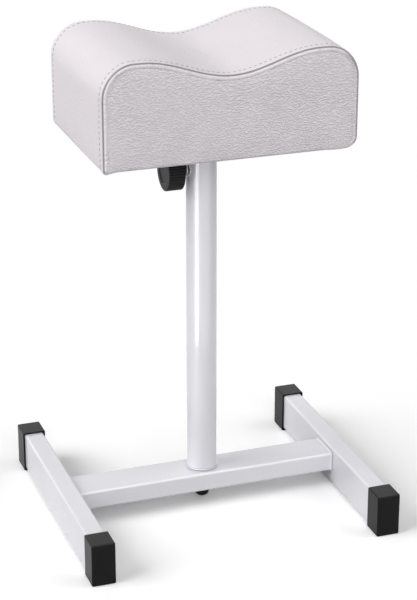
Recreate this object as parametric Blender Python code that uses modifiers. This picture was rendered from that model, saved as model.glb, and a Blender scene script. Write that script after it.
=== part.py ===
"""Pedicure footrest: a wave-shaped cushion on a telescopic column with a screw clamp, over an H base.

Metres, +Z up. The origin is on the floor, under the column's axis. X runs along the crossbar and the
cushion's length, Y from front to rear. The model stands at its lowest setting.
"""

import math

import bmesh
import bpy
from mathutils import Matrix, Vector

# Clearances, cutting and facets
SEAT_GAP = 0.0003              # left between two pieces that touch
RUNNING_GAP = 0.0003           # left round a piece that slides or turns in another
CUT_OVERRUN = 0.002            # how far a cutter runs past what it cuts
MERGE_DISTANCE = 0.00001
EDGE_BREAK = 0.0004            # small chamfer on turned edges
ROUND_SEGMENTS = 48
SMALL_SEGMENTS = 24
CORNER_STEPS = 4
SHARP_ANGLE = math.radians(32)

# Rectangular steel tube that the whole base is cut from
STOCK_LONG = 0.050
STOCK_SHORT = 0.025
STOCK_WALL = 0.0015
STOCK_BORE_CORNER = 0.0015

# H base, measured over its foot caps, and the weld beads at the crossbar's ends
BASE_WIDTH = 0.400
BASE_DEPTH = 0.355
WELD_LEG = 0.0032
WELD_SHARES = ((0.0, 1.0), (0.28, 0.42), (0.64, 0.13), (1.05, -0.06))

# Foot caps, pushed over the side bars' ends
CAP_WALL = 0.0022
CAP_LENGTH = 0.031
CAP_EDGE = 0.0014

# Stud, spacer, washer and nut in the crossbar, and the domed cover under it
COVER_FLOOR_GAP = 0.0023
COVER_WALL = 0.0012
COVER_STEPS = 7
TAIL_CLEARANCE = 0.0038        # from the stud's end to the inside of its cover
STUD_TAIL = 0.004              # thread under the nut
STUD_DIAMETER = 0.008
NUT_HEIGHT = 0.0065
NUT_WALL = 0.0022              # from the hole to a flat
WASHER_THICKNESS = 0.0016
WASHER_RIM = 0.0037            # from the hole to the edge
SPACER_WALL = 0.0025

# Outer column and the flanged plug welded in its foot
COLUMN_DIAMETER = 0.038
COLUMN_WALL = 0.0015
FLANGE_OVERHANG = 0.0014
FLANGE_THICKNESS = 0.003
PLUG_SPIGOT = 0.016

# Guide bush, inner column and glide
BUSH_WALL = 0.0009
BUSH_FLANGE = 0.0025
BUSH_CLEARANCE = 0.0113        # from the bush's foot to the clamp's hole
INNER_WALL = 0.0015
GLIDE_CLEARANCE = 0.0278       # from the foot plug to the glide at the lowest setting
GLIDE_COLLAR = 0.014
GLIDE_SPIGOT = 0.016
GLIDE_BORE = 0.010

# Screw clamp on the column's side
CLAMP_ROD = 0.008
BOSS_WALL = 0.00495
BOSS_PROUD = 0.0025
BOSS_FLANGE = 0.0012           # of the boss, in front of its ring
RING_WALL = 0.0013
KNOB_DIAMETER = 0.050
KNOB_RIM = 0.021
KNOB_NECK = 0.006
KNOB_NECK_WALL = 0.0042
KNOB_STANDOFF = 0.0005
KNOB_HEADROOM = 0.0117         # from the knob's rim up to the plate
KNOB_CHAMFER = 0.0012
KNOB_BORE = 0.018
KNOB_RIBS = 44
RIB_POINTS = 4
RIB_DEPTH = 0.0007
RIB_SHAPE = 0.5                # below 1, the crests are broad and the grooves narrow
PAD_LENGTH = 0.004

# Plate on the inner column's top, its screws and their inserts in the board
PLATE_LENGTH = 0.160
PLATE_WIDTH = 0.120
PLATE_THICKNESS = 0.003
PLATE_CORNER = 0.010
SCREW_INSET = 0.014
SCREW_DIAMETER = 0.006
HEAD_RIM = 0.003
HEAD_HEIGHT = 0.0036
HEAD_SHARES = ((1.0, 0.0), (1.0, 0.33), (0.72, 0.86), (0.33, 1.0), (0.0, 1.0))
INSERT_WALL = 0.0009
INSERT_RIM = 0.0053
INSERT_FLANGE = 0.0012

# Cushion
CUSHION_UNDERSIDE = 0.490      # height over the floor at the lowest setting
CUSHION_LENGTH = 0.312
CUSHION_DEPTH = 0.215
CUSHION_HEIGHT = 0.124         # to the two crests
SADDLE_DEPTH = 0.0232          # of the dip between the crests
SHOULDER_RADIUS = 0.040
CREST_FLAT = 0.009             # level run from a crest to its shoulder
LEATHER = 0.0012
TOP_CROWN = 0.002
FACE_CROWN = 0.003
CROWN_POWER = 4
BOARD_THICKNESS = 0.012
CLOTH_THICKNESS = 0.0006

# Cells of the cushion's cage, and the shares of them that the shoulders take
LENGTH_CELLS = 28
DEPTH_CELLS = 8
HEIGHT_CELLS = 8
TOP_ARC_SHARE = 3 / 14
END_ARC_SHARE = 3 / 4
ON_EDGE_SHARE = 0.9999

# Base, from the floor up
stock_corner = STOCK_BORE_CORNER + STOCK_WALL
cap_skin = SEAT_GAP + CAP_WALL
bar_x = BASE_WIDTH / 2 - STOCK_SHORT / 2 - cap_skin
bar_bottom = cap_skin
bar_length = BASE_DEPTH - 2 * cap_skin
stud_radius = STUD_DIAMETER / 2
stud_hole = stud_radius + SEAT_GAP
stud_bottom = COVER_FLOOR_GAP + COVER_WALL + TAIL_CLEARANCE
nut_bottom = stud_bottom + STUD_TAIL
nut_top = nut_bottom + NUT_HEIGHT
nut_corner = (stud_hole + NUT_WALL) / math.cos(math.pi / 6)
washer_bottom = nut_top + SEAT_GAP
washer_top = washer_bottom + WASHER_THICKNESS
washer_radius = stud_hole + WASHER_RIM
cover_bore = max(nut_corner, washer_radius) + SEAT_GAP
cover_radius = cover_bore + COVER_WALL
crossbar_bottom = washer_top + SEAT_GAP
crossbar_top = crossbar_bottom + STOCK_SHORT
crossbar_length = 2 * (bar_x - STOCK_SHORT / 2 - SEAT_GAP)

# Column, from its foot up
column_radius = COLUMN_DIAMETER / 2
column_bore = column_radius - COLUMN_WALL
bush_radius = column_bore - SEAT_GAP
bush_bore = bush_radius - BUSH_WALL
inner_radius = bush_bore - RUNNING_GAP
inner_bore = inner_radius - INNER_WALL
flange_bottom = crossbar_top + SEAT_GAP
flange_top = flange_bottom + FLANGE_THICKNESS
flange_radius = column_radius + FLANGE_OVERHANG
column_bottom = flange_top + SEAT_GAP
plug_top = flange_top + PLUG_SPIGOT
glide_bottom = plug_top + GLIDE_CLEARANCE
glide_collar_top = glide_bottom + GLIDE_COLLAR
inner_bottom = glide_collar_top + SEAT_GAP

# Column's top and the clamp, from the cushion down
plate_top = CUSHION_UNDERSIDE - SEAT_GAP
plate_underside = plate_top - PLATE_THICKNESS
inner_top = plate_underside - SEAT_GAP
bush_top = plate_underside - SEAT_GAP
column_top = bush_top - BUSH_FLANGE - SEAT_GAP
clamp_z = plate_underside - KNOB_HEADROOM - KNOB_DIAMETER / 2
rod_radius = CLAMP_ROD / 2
rod_hole = rod_radius + RUNNING_GAP
bush_bottom = clamp_z + rod_hole + BUSH_CLEARANCE

# Clamp, from the column's axis outwards
pad_start = inner_radius + RUNNING_GAP
rod_start = pad_start + PAD_LENGTH + SEAT_GAP
boss_radius = rod_hole + BOSS_WALL
boss_front = column_radius + BOSS_PROUD
boss_flange = boss_front - BOSS_FLANGE
ring_bore = boss_radius - RING_WALL
knob_start = boss_front + KNOB_STANDOFF
knob_length = KNOB_NECK + KNOB_RIM
rod_end = knob_start + KNOB_BORE - SEAT_GAP
knob_bore = rod_radius + SEAT_GAP
knob_neck = knob_bore + KNOB_NECK_WALL

# Plate screws and inserts
screw_radius = SCREW_DIAMETER / 2
screw_hole = screw_radius + SEAT_GAP
insert_radius = screw_hole + INSERT_WALL
insert_flange = insert_radius + INSERT_RIM
screw_x = PLATE_LENGTH / 2 - SCREW_INSET
screw_y = PLATE_WIDTH / 2 - SCREW_INSET
screw_places = [
    ("front_left", -screw_x, -screw_y),
    ("front_right", screw_x, -screw_y),
    ("rear_left", -screw_x, screw_y),
    ("rear_right", screw_x, screw_y),
]

# Cushion, from its underside up
skin_depth = LEATHER + SEAT_GAP
board_bottom = CUSHION_UNDERSIDE + CLOTH_THICKNESS + SEAT_GAP
board_top = board_bottom + BOARD_THICKNESS
board_length = CUSHION_LENGTH - 2 * skin_depth
board_depth = CUSHION_DEPTH - 2 * skin_depth
foam_bottom = board_top + SEAT_GAP
crest_z = CUSHION_UNDERSIDE + CUSHION_HEIGHT
shoulder_x = CUSHION_LENGTH / 2 - SHOULDER_RADIUS
shoulder_z = crest_z - SHOULDER_RADIUS
crest_x = shoulder_x - CREST_FLAT


def clear_scene():
    """Leave no object from before."""
    for old in list(bpy.data.objects):
        bpy.data.objects.remove(old, do_unlink=True)


def new_collection(name):
    made = bpy.data.collections.new(name)
    bpy.context.scene.collection.children.link(made)
    return made


def finish(name, colour, roughness, metallic=0.0):
    """A plain Principled material."""
    made = bpy.data.materials.new(name)
    made.use_nodes = True
    shader = made.node_tree.nodes["Principled BSDF"]
    shader.inputs["Base Color"].default_value = (*colour, 1.0)
    shader.inputs["Roughness"].default_value = roughness
    shader.inputs["Metallic"].default_value = metallic
    return made


def axis_empty(name, place, turn=(0.0, 0.0, 0.0)):
    """An empty on a joint's axis, which carries what moves with it."""
    made = bpy.data.objects.new(name, None)
    parts.objects.link(made)
    made.location = place
    made.rotation_euler = turn
    made.empty_display_size = STOCK_LONG
    return made


def add(name, mesh, material, place=(0.0, 0.0, 0.0), turn=(0.0, 0.0, 0.0), parent=None, smooth=True):
    """A sub-part, placed in the world or in its parent's frame."""
    made = bpy.data.objects.new(name, mesh)
    parts.objects.link(made)
    made.location = place
    made.rotation_euler = turn
    made.parent = parent
    mesh.materials.clear()
    mesh.materials.append(material)
    if smooth:
        mesh.shade_smooth()
        mesh.set_sharp_from_angle(angle=SHARP_ANGLE)
    return made


def cutter(name, mesh, place=(0.0, 0.0, 0.0), turn=(0.0, 0.0, 0.0), parent=None):
    """A shape that only cuts or joins."""
    made = bpy.data.objects.new(name, mesh)
    cutters.objects.link(made)
    made.location = place
    made.rotation_euler = turn
    made.parent = parent
    made.hide_render = True
    made.display_type = "WIRE"
    return made


def combine(target, tool, operation):
    """A Boolean modifier with the exact solver."""
    change = target.modifiers.new(operation.lower(), "BOOLEAN")
    change.operation = operation
    change.object = tool
    change.solver = "EXACT"


def evaluated_mesh(thing):
    """The object's mesh as its modifiers leave it. The object itself goes."""
    bpy.context.view_layer.update()
    graph = bpy.context.evaluated_depsgraph_get()
    mesh = bpy.data.meshes.new_from_object(thing.evaluated_get(graph))
    bpy.data.objects.remove(thing, do_unlink=True)
    return mesh


def mesh_of(body, name):
    mesh = bpy.data.meshes.new(name)
    body.to_mesh(mesh)
    body.free()
    return mesh


def rectangle_outline(width, height, radius):
    """A rounded rectangle's points, anticlockwise."""
    points = []
    for side_x, side_y, quarter in ((1, 1, 0), (-1, 1, 1), (-1, -1, 2), (1, -1, 3)):
        centre_x = side_x * (width / 2 - radius)
        centre_y = side_y * (height / 2 - radius)
        for step in range(CORNER_STEPS + 1):
            angle = math.pi / 2 * (quarter + step / CORNER_STEPS)
            points.append((centre_x + radius * math.cos(angle), centre_y + radius * math.sin(angle)))
    return points


def circle_outline(radius, centre=(0.0, 0.0), count=SMALL_SEGMENTS):
    """A circle's points, or a regular polygon's by its corner radius."""
    turns = [2 * math.pi * step / count for step in range(count)]
    return [(centre[0] + radius * math.cos(turn), centre[1] + radius * math.sin(turn)) for turn in turns]


def flat_mesh(outlines, thickness):
    """A flat outline with its holes, extruded evenly both ways along its own Z, as a closed mesh."""
    curve = bpy.data.curves.new("outline", "CURVE")
    curve.dimensions = "2D"
    curve.fill_mode = "BOTH"
    curve.extrude = thickness / 2
    for outline in outlines:
        spline = curve.splines.new("POLY")
        spline.points.add(len(outline) - 1)
        for point, (x, y) in zip(spline.points, outline):
            point.co = (x, y, 0.0, 1.0)
        spline.use_cyclic_u = True
    holder = bpy.data.objects.new("outline", curve)
    parts.objects.link(holder)
    mesh = evaluated_mesh(holder)
    body = bmesh.new()
    body.from_mesh(mesh)
    bmesh.ops.remove_doubles(body, verts=body.verts, dist=MERGE_DISTANCE)
    body.to_mesh(mesh)
    body.free()
    return mesh


def turned_mesh(profile, closed, segments=ROUND_SEGMENTS):
    """A profile of (radius, height) points that runs down its outer side, turned about its own Z."""
    points = [(radius, 0.0, height) for radius, height in profile]
    edges = [(i, i + 1) for i in range(len(points) - 1)]
    if closed:
        edges.append((len(points) - 1, 0))
    line = bpy.data.meshes.new("profile")
    line.from_pydata(points, edges, [])
    holder = bpy.data.objects.new("turned", line)
    parts.objects.link(holder)
    screw = holder.modifiers.new("turn", "SCREW")
    screw.axis = "Z"
    screw.angle = 2 * math.pi
    screw.steps = segments
    screw.render_steps = segments
    screw.use_merge_vertices = True
    screw.merge_threshold = MERGE_DISTANCE
    return evaluated_mesh(holder)


def rod_mesh(radius, length, segments=SMALL_SEGMENTS):
    """A plain round rod that starts at its own origin."""
    body = bmesh.new()
    bmesh.ops.create_cone(
        body,
        cap_ends=True,
        segments=segments,
        radius1=radius,
        radius2=radius,
        depth=length,
        matrix=Matrix.Translation((0.0, 0.0, length / 2)),
    )
    return mesh_of(body, "rod")


def loft_mesh(rings):
    """A loft through like rings of points that ends on its first ring."""
    body = bmesh.new()
    loops = [[body.verts.new(point) for point in ring] for ring in rings]
    count = len(loops[0])
    for i, loop in enumerate(loops):
        after = loops[(i + 1) % len(loops)]
        for j in range(count):
            k = (j + 1) % count
            body.faces.new((loop[j], loop[k], after[k], after[j]))
    bmesh.ops.recalc_face_normals(body, faces=body.faces)
    return mesh_of(body, "loft")


def tube_profile(outer, inner, low, high):
    """A tube or ring with its outer edges broken."""
    return [
        (outer - EDGE_BREAK, high),
        (outer, high - EDGE_BREAK),
        (outer, low + EDGE_BREAK),
        (outer - EDGE_BREAK, low),
        (inner, low),
        (inner, high),
    ]


def stock_mesh(length):
    """A length of the rectangular tube, along its own Z."""
    bore_width = STOCK_SHORT - 2 * STOCK_WALL
    bore_height = STOCK_LONG - 2 * STOCK_WALL
    outlines = [
        rectangle_outline(STOCK_SHORT, STOCK_LONG, stock_corner),
        rectangle_outline(bore_width, bore_height, STOCK_BORE_CORNER),
    ]
    return flat_mesh(outlines, length)


def build_side_bars():
    """Two lengths of tube on edge, open at both ends."""
    middle = bar_bottom + STOCK_LONG / 2
    for name, side in (("side_bar_left", -1), ("side_bar_right", 1)):
        add(name, stock_mesh(bar_length), POWDER_WHITE, (side * bar_x, 0.0, middle), (math.pi / 2, 0.0, 0.0))


def weld_ring(toe, proud, end):
    """One ring of a weld bead, at a distance from the crossbar's end."""
    outline = rectangle_outline(STOCK_SHORT + 2 * proud, STOCK_LONG + 2 * proud, stock_corner + proud)
    z = end * (crossbar_length / 2 - toe)
    return [(x, y, z) for x, y in outline]


def build_crossbar():
    """Tube laid flat between the side bars, with its weld beads and the stud's two holes."""
    place = (0.0, 0.0, (crossbar_top + crossbar_bottom) / 2)
    turn = (0.0, math.pi / 2, 0.0)
    bar = add("crossbar", stock_mesh(crossbar_length), POWDER_WHITE, place, turn)
    section = [(along * WELD_LEG, out * WELD_LEG) for along, out in WELD_SHARES]
    section.append((section[-1][0], -STOCK_WALL / 2))
    section.append((0.0, -STOCK_WALL / 2))
    for end in (-1, 1):
        rings = [weld_ring(toe, proud, end) for toe, proud in section]
        combine(bar, cutter("weld_bead", loft_mesh(rings), place, turn), "UNION")
    drill = rod_mesh(stud_hole, STOCK_SHORT + 2 * CUT_OVERRUN)
    combine(bar, cutter("stud_drill", drill, (0.0, 0.0, crossbar_bottom - CUT_OVERRUN)), "DIFFERENCE")


def build_foot_caps():
    """Four moulded caps that wrap the side bars' ends and stand on the floor."""
    width = STOCK_SHORT + 2 * cap_skin
    height = STOCK_LONG + 2 * cap_skin
    body = bmesh.new()
    bmesh.ops.create_cube(body, size=1.0)
    bmesh.ops.scale(body, vec=(width, CAP_LENGTH, height), verts=body.verts)
    bmesh.ops.translate(body, vec=(0.0, CAP_LENGTH / 2, height / 2), verts=body.verts)
    blank = add("cap_blank", mesh_of(body, "cap_blank"), CAP_BLACK)
    bevel = blank.modifiers.new("edges", "BEVEL")
    bevel.width = CAP_EDGE
    bevel.segments = 3
    pocket_width = STOCK_SHORT + 2 * SEAT_GAP
    pocket_height = STOCK_LONG + 2 * SEAT_GAP
    pocket_length = CAP_LENGTH - CAP_WALL + CUT_OVERRUN
    outline = rectangle_outline(pocket_width, pocket_height, stock_corner + SEAT_GAP)
    pocket = cutter(
        "cap_pocket",
        flat_mesh([outline], pocket_length),
        (0.0, CAP_WALL + pocket_length / 2, height / 2),
        (math.pi / 2, 0.0, 0.0),
    )
    combine(blank, pocket, "DIFFERENCE")
    mesh = evaluated_mesh(blank)
    for row, end, turn in (("front", -1, 0.0), ("rear", 1, math.pi)):
        for hand, side in (("left", -1), ("right", 1)):
            place = (side * bar_x, end * BASE_DEPTH / 2, 0.0)
            add(f"foot_cap_{row}_{hand}", mesh, CAP_BLACK, place, (0.0, 0.0, turn))


def build_column():
    """Outer tube with the clamp's hole, on its flanged foot plug."""
    profile = tube_profile(column_radius, column_bore, column_bottom, column_top)
    column = add("outer_column", turned_mesh(profile, True), POWDER_WHITE)
    drill = rod_mesh(rod_hole, column_radius + CUT_OVERRUN)
    combine(column, cutter("clamp_drill", drill, parent=clamp_axis), "DIFFERENCE")
    plug = [
        (bush_radius - EDGE_BREAK, plug_top),
        (bush_radius, plug_top - EDGE_BREAK),
        (bush_radius, flange_top),
        (flange_radius - EDGE_BREAK, flange_top),
        (flange_radius, flange_top - EDGE_BREAK),
        (flange_radius, flange_bottom + EDGE_BREAK),
        (flange_radius - EDGE_BREAK, flange_bottom),
        (stud_hole, flange_bottom),
        (stud_hole, plug_top),
    ]
    add("column_foot_plug", turned_mesh(plug, True), POWDER_WHITE)


def build_column_fixing():
    """Stud through the crossbar, its spacer, washer, nut and domed cover."""
    stud = [
        (0.0, plug_top),
        (stud_radius - EDGE_BREAK, plug_top),
        (stud_radius, plug_top - EDGE_BREAK),
        (stud_radius, stud_bottom + EDGE_BREAK),
        (stud_radius - EDGE_BREAK, stud_bottom),
        (0.0, stud_bottom),
    ]
    add("column_stud", turned_mesh(stud, False, SMALL_SEGMENTS), ZINC)
    spacer_low = crossbar_bottom + STOCK_WALL + SEAT_GAP
    spacer_high = crossbar_top - STOCK_WALL - SEAT_GAP
    spacer = tube_profile(stud_hole + SPACER_WALL, stud_hole, spacer_low, spacer_high)
    add("crossbar_spacer", turned_mesh(spacer, True, SMALL_SEGMENTS), ZINC)
    washer = flat_mesh([circle_outline(washer_radius), circle_outline(stud_hole)], WASHER_THICKNESS)
    add("column_washer", washer, ZINC, (0.0, 0.0, (washer_top + washer_bottom) / 2))
    nut = flat_mesh([circle_outline(nut_corner, count=6), circle_outline(stud_hole)], NUT_HEIGHT)
    add("column_nut", nut, ZINC, (0.0, 0.0, (nut_top + nut_bottom) / 2), smooth=False)

    outer_depth = nut_bottom - COVER_FLOOR_GAP
    inner_depth = outer_depth - COVER_WALL
    turns = [math.pi / 2 * step / COVER_STEPS for step in range(COVER_STEPS)]
    cover = [(cover_bore, washer_top), (cover_radius, washer_top)]
    cover += [(cover_radius * math.cos(t), nut_bottom - outer_depth * math.sin(t)) for t in turns]
    cover.append((0.0, nut_bottom - outer_depth))
    inside = [(cover_bore * math.cos(t), nut_bottom - inner_depth * math.sin(t)) for t in turns]
    inside.append((0.0, nut_bottom - inner_depth))
    add("nut_cover", turned_mesh(inside[::-1] + cover, False, SMALL_SEGMENTS), CAP_BLACK)


def build_clamp():
    """Boss with its ring on the column, threaded rod, ribbed knob and the pad that grips the inner column."""
    form = [
        (boss_radius - EDGE_BREAK, boss_front),
        (boss_radius, boss_front - EDGE_BREAK),
        (boss_radius, boss_flange),
        (ring_bore - SEAT_GAP, boss_flange),
        (ring_bore - SEAT_GAP, 0.0),
        (rod_hole, 0.0),
        (rod_hole, boss_front),
    ]
    boss = add("clamp_boss", turned_mesh(form, True, SMALL_SEGMENTS), POWDER_WHITE, parent=clamp_axis)
    ring = turned_mesh(tube_profile(boss_radius, ring_bore, 0.0, boss_flange - SEAT_GAP), True, SMALL_SEGMENTS)
    ring = add("clamp_ring", ring, CAP_BLACK, parent=clamp_axis)
    saddle_length = 2 * (boss_radius + CUT_OVERRUN)
    for piece in (boss, ring):
        saddle = rod_mesh(column_radius + SEAT_GAP, saddle_length, ROUND_SEGMENTS)
        saddle = cutter(f"{piece.name}_saddle", saddle, (0.0, 0.0, clamp_z - saddle_length / 2))
        combine(piece, saddle, "DIFFERENCE")

    rim = KNOB_DIAMETER / 2
    form = [
        (0.0, knob_length),
        (rim - KNOB_CHAMFER, knob_length),
        (rim, knob_length - KNOB_CHAMFER),
        (rim, KNOB_NECK + KNOB_CHAMFER),
        (rim - KNOB_CHAMFER, KNOB_NECK),
        (knob_neck, KNOB_NECK),
        (knob_neck, EDGE_BREAK),
        (knob_neck - EDGE_BREAK, 0.0),
        (knob_bore, 0.0),
        (knob_bore, KNOB_BORE),
        (0.0, KNOB_BORE),
    ]
    knob = add("clamp_knob", turned_mesh(form, False), KNOB_BLACK, (0.0, 0.0, knob_start), parent=knob_axis)
    outline = []
    for step in range(KNOB_RIBS * RIB_POINTS):
        angle = 2 * math.pi * step / (KNOB_RIBS * RIB_POINTS)
        crest = abs(math.cos(KNOB_RIBS * angle / 2)) ** RIB_SHAPE
        reach = rim - RIB_DEPTH * (1 - crest)
        outline.append((reach * math.cos(angle), reach * math.sin(angle)))
    ribs = flat_mesh([outline], knob_length + 2 * CUT_OVERRUN)
    middle = knob_start + knob_length / 2
    combine(knob, cutter("knob_ribs", ribs, (0.0, 0.0, middle), parent=knob_axis), "INTERSECT")

    rod = rod_mesh(rod_radius, rod_end - rod_start)
    add("clamp_rod", rod, ZINC, (0.0, 0.0, rod_start), parent=knob_axis)
    add("clamp_pad", rod_mesh(rod_radius, PAD_LENGTH), BRASS, (0.0, 0.0, pad_start), parent=clamp_axis)


def build_inner_column():
    """Guide bush in the outer tube, sliding tube, its glide and the plate on its top."""
    bush = [
        (column_radius - EDGE_BREAK, bush_top),
        (column_radius, bush_top - EDGE_BREAK),
        (column_radius, column_top + SEAT_GAP),
        (bush_radius, column_top + SEAT_GAP),
        (bush_radius, bush_bottom + EDGE_BREAK),
        (bush_radius - EDGE_BREAK, bush_bottom),
        (bush_bore, bush_bottom),
        (bush_bore, bush_top),
    ]
    add("guide_bush", turned_mesh(bush, True), NYLON)
    profile = tube_profile(inner_radius, inner_bore, inner_bottom, inner_top)
    add("inner_column", turned_mesh(profile, True), CHROME, parent=swivel_axis)
    collar = column_bore - RUNNING_GAP
    spigot = inner_bore - SEAT_GAP
    spigot_top = glide_collar_top + GLIDE_SPIGOT
    glide = [
        (spigot - EDGE_BREAK, spigot_top),
        (spigot, spigot_top - EDGE_BREAK),
        (spigot, glide_collar_top),
        (collar - EDGE_BREAK, glide_collar_top),
        (collar, glide_collar_top - EDGE_BREAK),
        (collar, glide_bottom + EDGE_BREAK),
        (collar - EDGE_BREAK, glide_bottom),
        (GLIDE_BORE / 2, glide_bottom),
        (GLIDE_BORE / 2, spigot_top),
    ]
    add("column_glide", turned_mesh(glide, True), NYLON, parent=swivel_axis)
    holes = [circle_outline(screw_hole, (x, y)) for _, x, y in screw_places]
    plate = flat_mesh([rectangle_outline(PLATE_LENGTH, PLATE_WIDTH, PLATE_CORNER)] + holes, PLATE_THICKNESS)
    middle = (plate_top + plate_underside) / 2
    add("top_plate", plate, POWDER_WHITE, (0.0, 0.0, middle), parent=swivel_axis)


def build_plate_screws():
    """Four round-headed screws from below, into flanged inserts in the board."""
    head_top = plate_underside - SEAT_GAP
    insert_top = board_top - SEAT_GAP
    screw_top = insert_top - INSERT_FLANGE
    head = screw_radius + HEAD_RIM
    screw = [
        (0.0, screw_top),
        (screw_radius - EDGE_BREAK, screw_top),
        (screw_radius, screw_top - EDGE_BREAK),
        (screw_radius, head_top),
    ]
    screw += [(head * across, head_top - HEAD_HEIGHT * down) for across, down in HEAD_SHARES]
    insert = [
        (insert_flange, insert_top),
        (insert_flange, insert_top - INSERT_FLANGE),
        (insert_radius, insert_top - INSERT_FLANGE),
        (insert_radius, board_bottom),
        (screw_hole, board_bottom),
        (screw_hole, insert_top),
    ]
    for place, x, y in screw_places:
        screw_mesh = turned_mesh(screw, False, SMALL_SEGMENTS)
        insert_mesh = turned_mesh(insert, True, SMALL_SEGMENTS)
        add(f"plate_screw_{place}", screw_mesh, ZINC, (x, y, 0.0), parent=swivel_axis)
        add(f"board_insert_{place}", insert_mesh, ZINC, (x, y, 0.0), parent=swivel_axis)


def build_board():
    """Plywood board with four stepped holes, and the dust cloth under it."""
    edge = rectangle_outline(board_length, board_depth, skin_depth)
    bores = [circle_outline(insert_radius + SEAT_GAP, (x, y)) for _, x, y in screw_places]
    board = flat_mesh([edge] + bores, BOARD_THICKNESS)
    board = add("seat_board", board, PLYWOOD, (0.0, 0.0, (board_top + board_bottom) / 2), parent=swivel_axis)
    recess_depth = INSERT_FLANGE + 2 * SEAT_GAP
    recess_radius = insert_flange + SEAT_GAP
    for place, x, y in screw_places:
        recess = rod_mesh(recess_radius, recess_depth + CUT_OVERRUN)
        recess = cutter(f"insert_recess_{place}", recess, (x, y, board_top - recess_depth), parent=swivel_axis)
        combine(board, recess, "DIFFERENCE")
    holes = [circle_outline(insert_radius, (x, y)) for _, x, y in screw_places]
    cloth = flat_mesh([edge] + holes, CLOTH_THICKNESS)
    middle = CUSHION_UNDERSIDE + CLOTH_THICKNESS / 2
    add("underside_cloth", cloth, DUST_CLOTH, (0.0, 0.0, middle), parent=swivel_axis)


def shoulder_point(side, angle):
    """A point on a rounded shoulder, by its normal's angle over the horizontal, and that normal."""
    normal = Vector((side * math.cos(angle), 0.0, math.sin(angle)))
    return Vector((side * shoulder_x, 0.0, shoulder_z)) + SHOULDER_RADIUS * normal, normal


def top_point(a):
    """A point of the cushion's top line and its normal. It runs from -1 to 1, between the shoulders' middles."""
    side = 1 if a > 0 else -1
    arc_start = 1 - TOP_ARC_SHARE
    if abs(a) > arc_start:
        turned = (abs(a) - arc_start) / TOP_ARC_SHARE
        return shoulder_point(side, math.pi / 2 - math.pi / 4 * turned)
    x = a / arc_start * shoulder_x
    if abs(x) > crest_x:
        return Vector((x, 0.0, crest_z)), Vector((0.0, 0.0, 1.0))
    phase = math.pi * x / crest_x
    z = crest_z - SADDLE_DEPTH * (1 + math.cos(phase)) / 2
    slope = SADDLE_DEPTH / crest_x * math.pi * math.sin(phase) / 2
    return Vector((x, 0.0, z)), Vector((-slope, 0.0, 1.0)).normalized()


def end_point(side, up, low):
    """A point of the cushion's end line and its normal. It runs from 0 at the foot to 1 in the shoulder."""
    arc_start = 1 - END_ARC_SHARE / 2
    if up > arc_start:
        return shoulder_point(side, math.pi / 4 * (up - arc_start) / (1 - arc_start))
    z = low + up / arc_start * (shoulder_z - low)
    return Vector((side * CUSHION_LENGTH / 2, 0.0, z)), Vector((side, 0.0, 0.0))


def cushion_point(a, b, c, inset, face_inset, low):
    """Where a point of a cube from -1 to 1 lies on the cushion, or on a layer inside it.

    The cube's long section is blended between the top line, the two end lines and the flat foot.
    Then the crown swells the top, the ends and the faces.
    """
    across = (a + 1) / 2
    up = (c + 1) / 2
    top, top_normal = top_point(a)
    top = top - inset * top_normal
    (left, left_normal), (right, right_normal) = end_point(-1, up, low), end_point(1, up, low)
    left = left - inset * left_normal
    right = right - inset * right_normal
    (left_corner, left_slant), (right_corner, right_slant) = top_point(-1), top_point(1)
    left_corner = left_corner - inset * left_slant
    right_corner = right_corner - inset * right_slant
    foot = Vector((a * (CUSHION_LENGTH / 2 - inset), 0.0, low))
    sides = (1 - across) * left + across * right
    levels = (1 - up) * foot + up * top
    bilinear = (1 - up) * foot + up * ((1 - across) * left_corner + across * right_corner)
    point = sides + levels - bilinear
    crown = TOP_CROWN * (1 - abs(b) ** CROWN_POWER)
    if c > ON_EDGE_SHARE:
        point += crown * top_normal
    elif abs(a) > ON_EDGE_SHARE:
        point += crown * (1 - (1 - up) ** CROWN_POWER) * (left_normal if a < 0 else right_normal)
    bulge = FACE_CROWN * (1 - abs(a) ** CROWN_POWER) * (1 - abs(c) ** CROWN_POWER)
    point.y = b * (CUSHION_DEPTH / 2 - face_inset + bulge)
    return point


def cushion_mesh(inset, face_inset, low, keep=None):
    """A cube cut into cells, or only the faces that keep picks, laid on the cushion's form."""
    body = bmesh.new()
    bmesh.ops.create_cube(body, size=1.0)
    for axis, cells in enumerate((LENGTH_CELLS, DEPTH_CELLS, HEIGHT_CELLS)):
        normal = Vector([1.0 if i == axis else 0.0 for i in range(3)])
        for step in range(1, cells):
            whole = body.verts[:] + body.edges[:] + body.faces[:]
            place = (step / cells - 1 / 2) * normal
            bmesh.ops.bisect_plane(body, geom=whole, plane_co=place, plane_no=normal)
    body.normal_update()
    if keep:
        unwanted = [face for face in body.faces if not keep(face.normal)]
        bmesh.ops.delete(body, geom=unwanted, context="FACES")
    for vertex in body.verts:
        vertex.co = cushion_point(*(2 * vertex.co), inset, face_inset, low)
    return mesh_of(body, "cushion")


def build_cushion():
    """Foam core in a cover of three sewn panels: a band over the top and ends, and two faces."""
    foam = cushion_mesh(skin_depth, skin_depth, foam_bottom)
    add("foam_core", foam, FOAM, parent=swivel_axis)
    panels = (
        ("cover_band", 0.0, lambda normal: abs(normal.x) > 0.5 or normal.z > 0.5),
        ("cover_front_panel", skin_depth, lambda normal: normal.y < -0.5),
        ("cover_rear_panel", skin_depth, lambda normal: normal.y > 0.5),
    )
    for name, inset, keep in panels:
        skin = cushion_mesh(inset, 0.0, CUSHION_UNDERSIDE, keep)
        skin = add(name, skin, LEATHERETTE, parent=swivel_axis)
        leather = skin.modifiers.new("leather", "SOLIDIFY")
        leather.thickness = LEATHER
        leather.offset = -1.0
        leather.use_even_offset = True


clear_scene()
parts = new_collection("pedicure_footrest")
cutters = new_collection("cutters")

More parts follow.
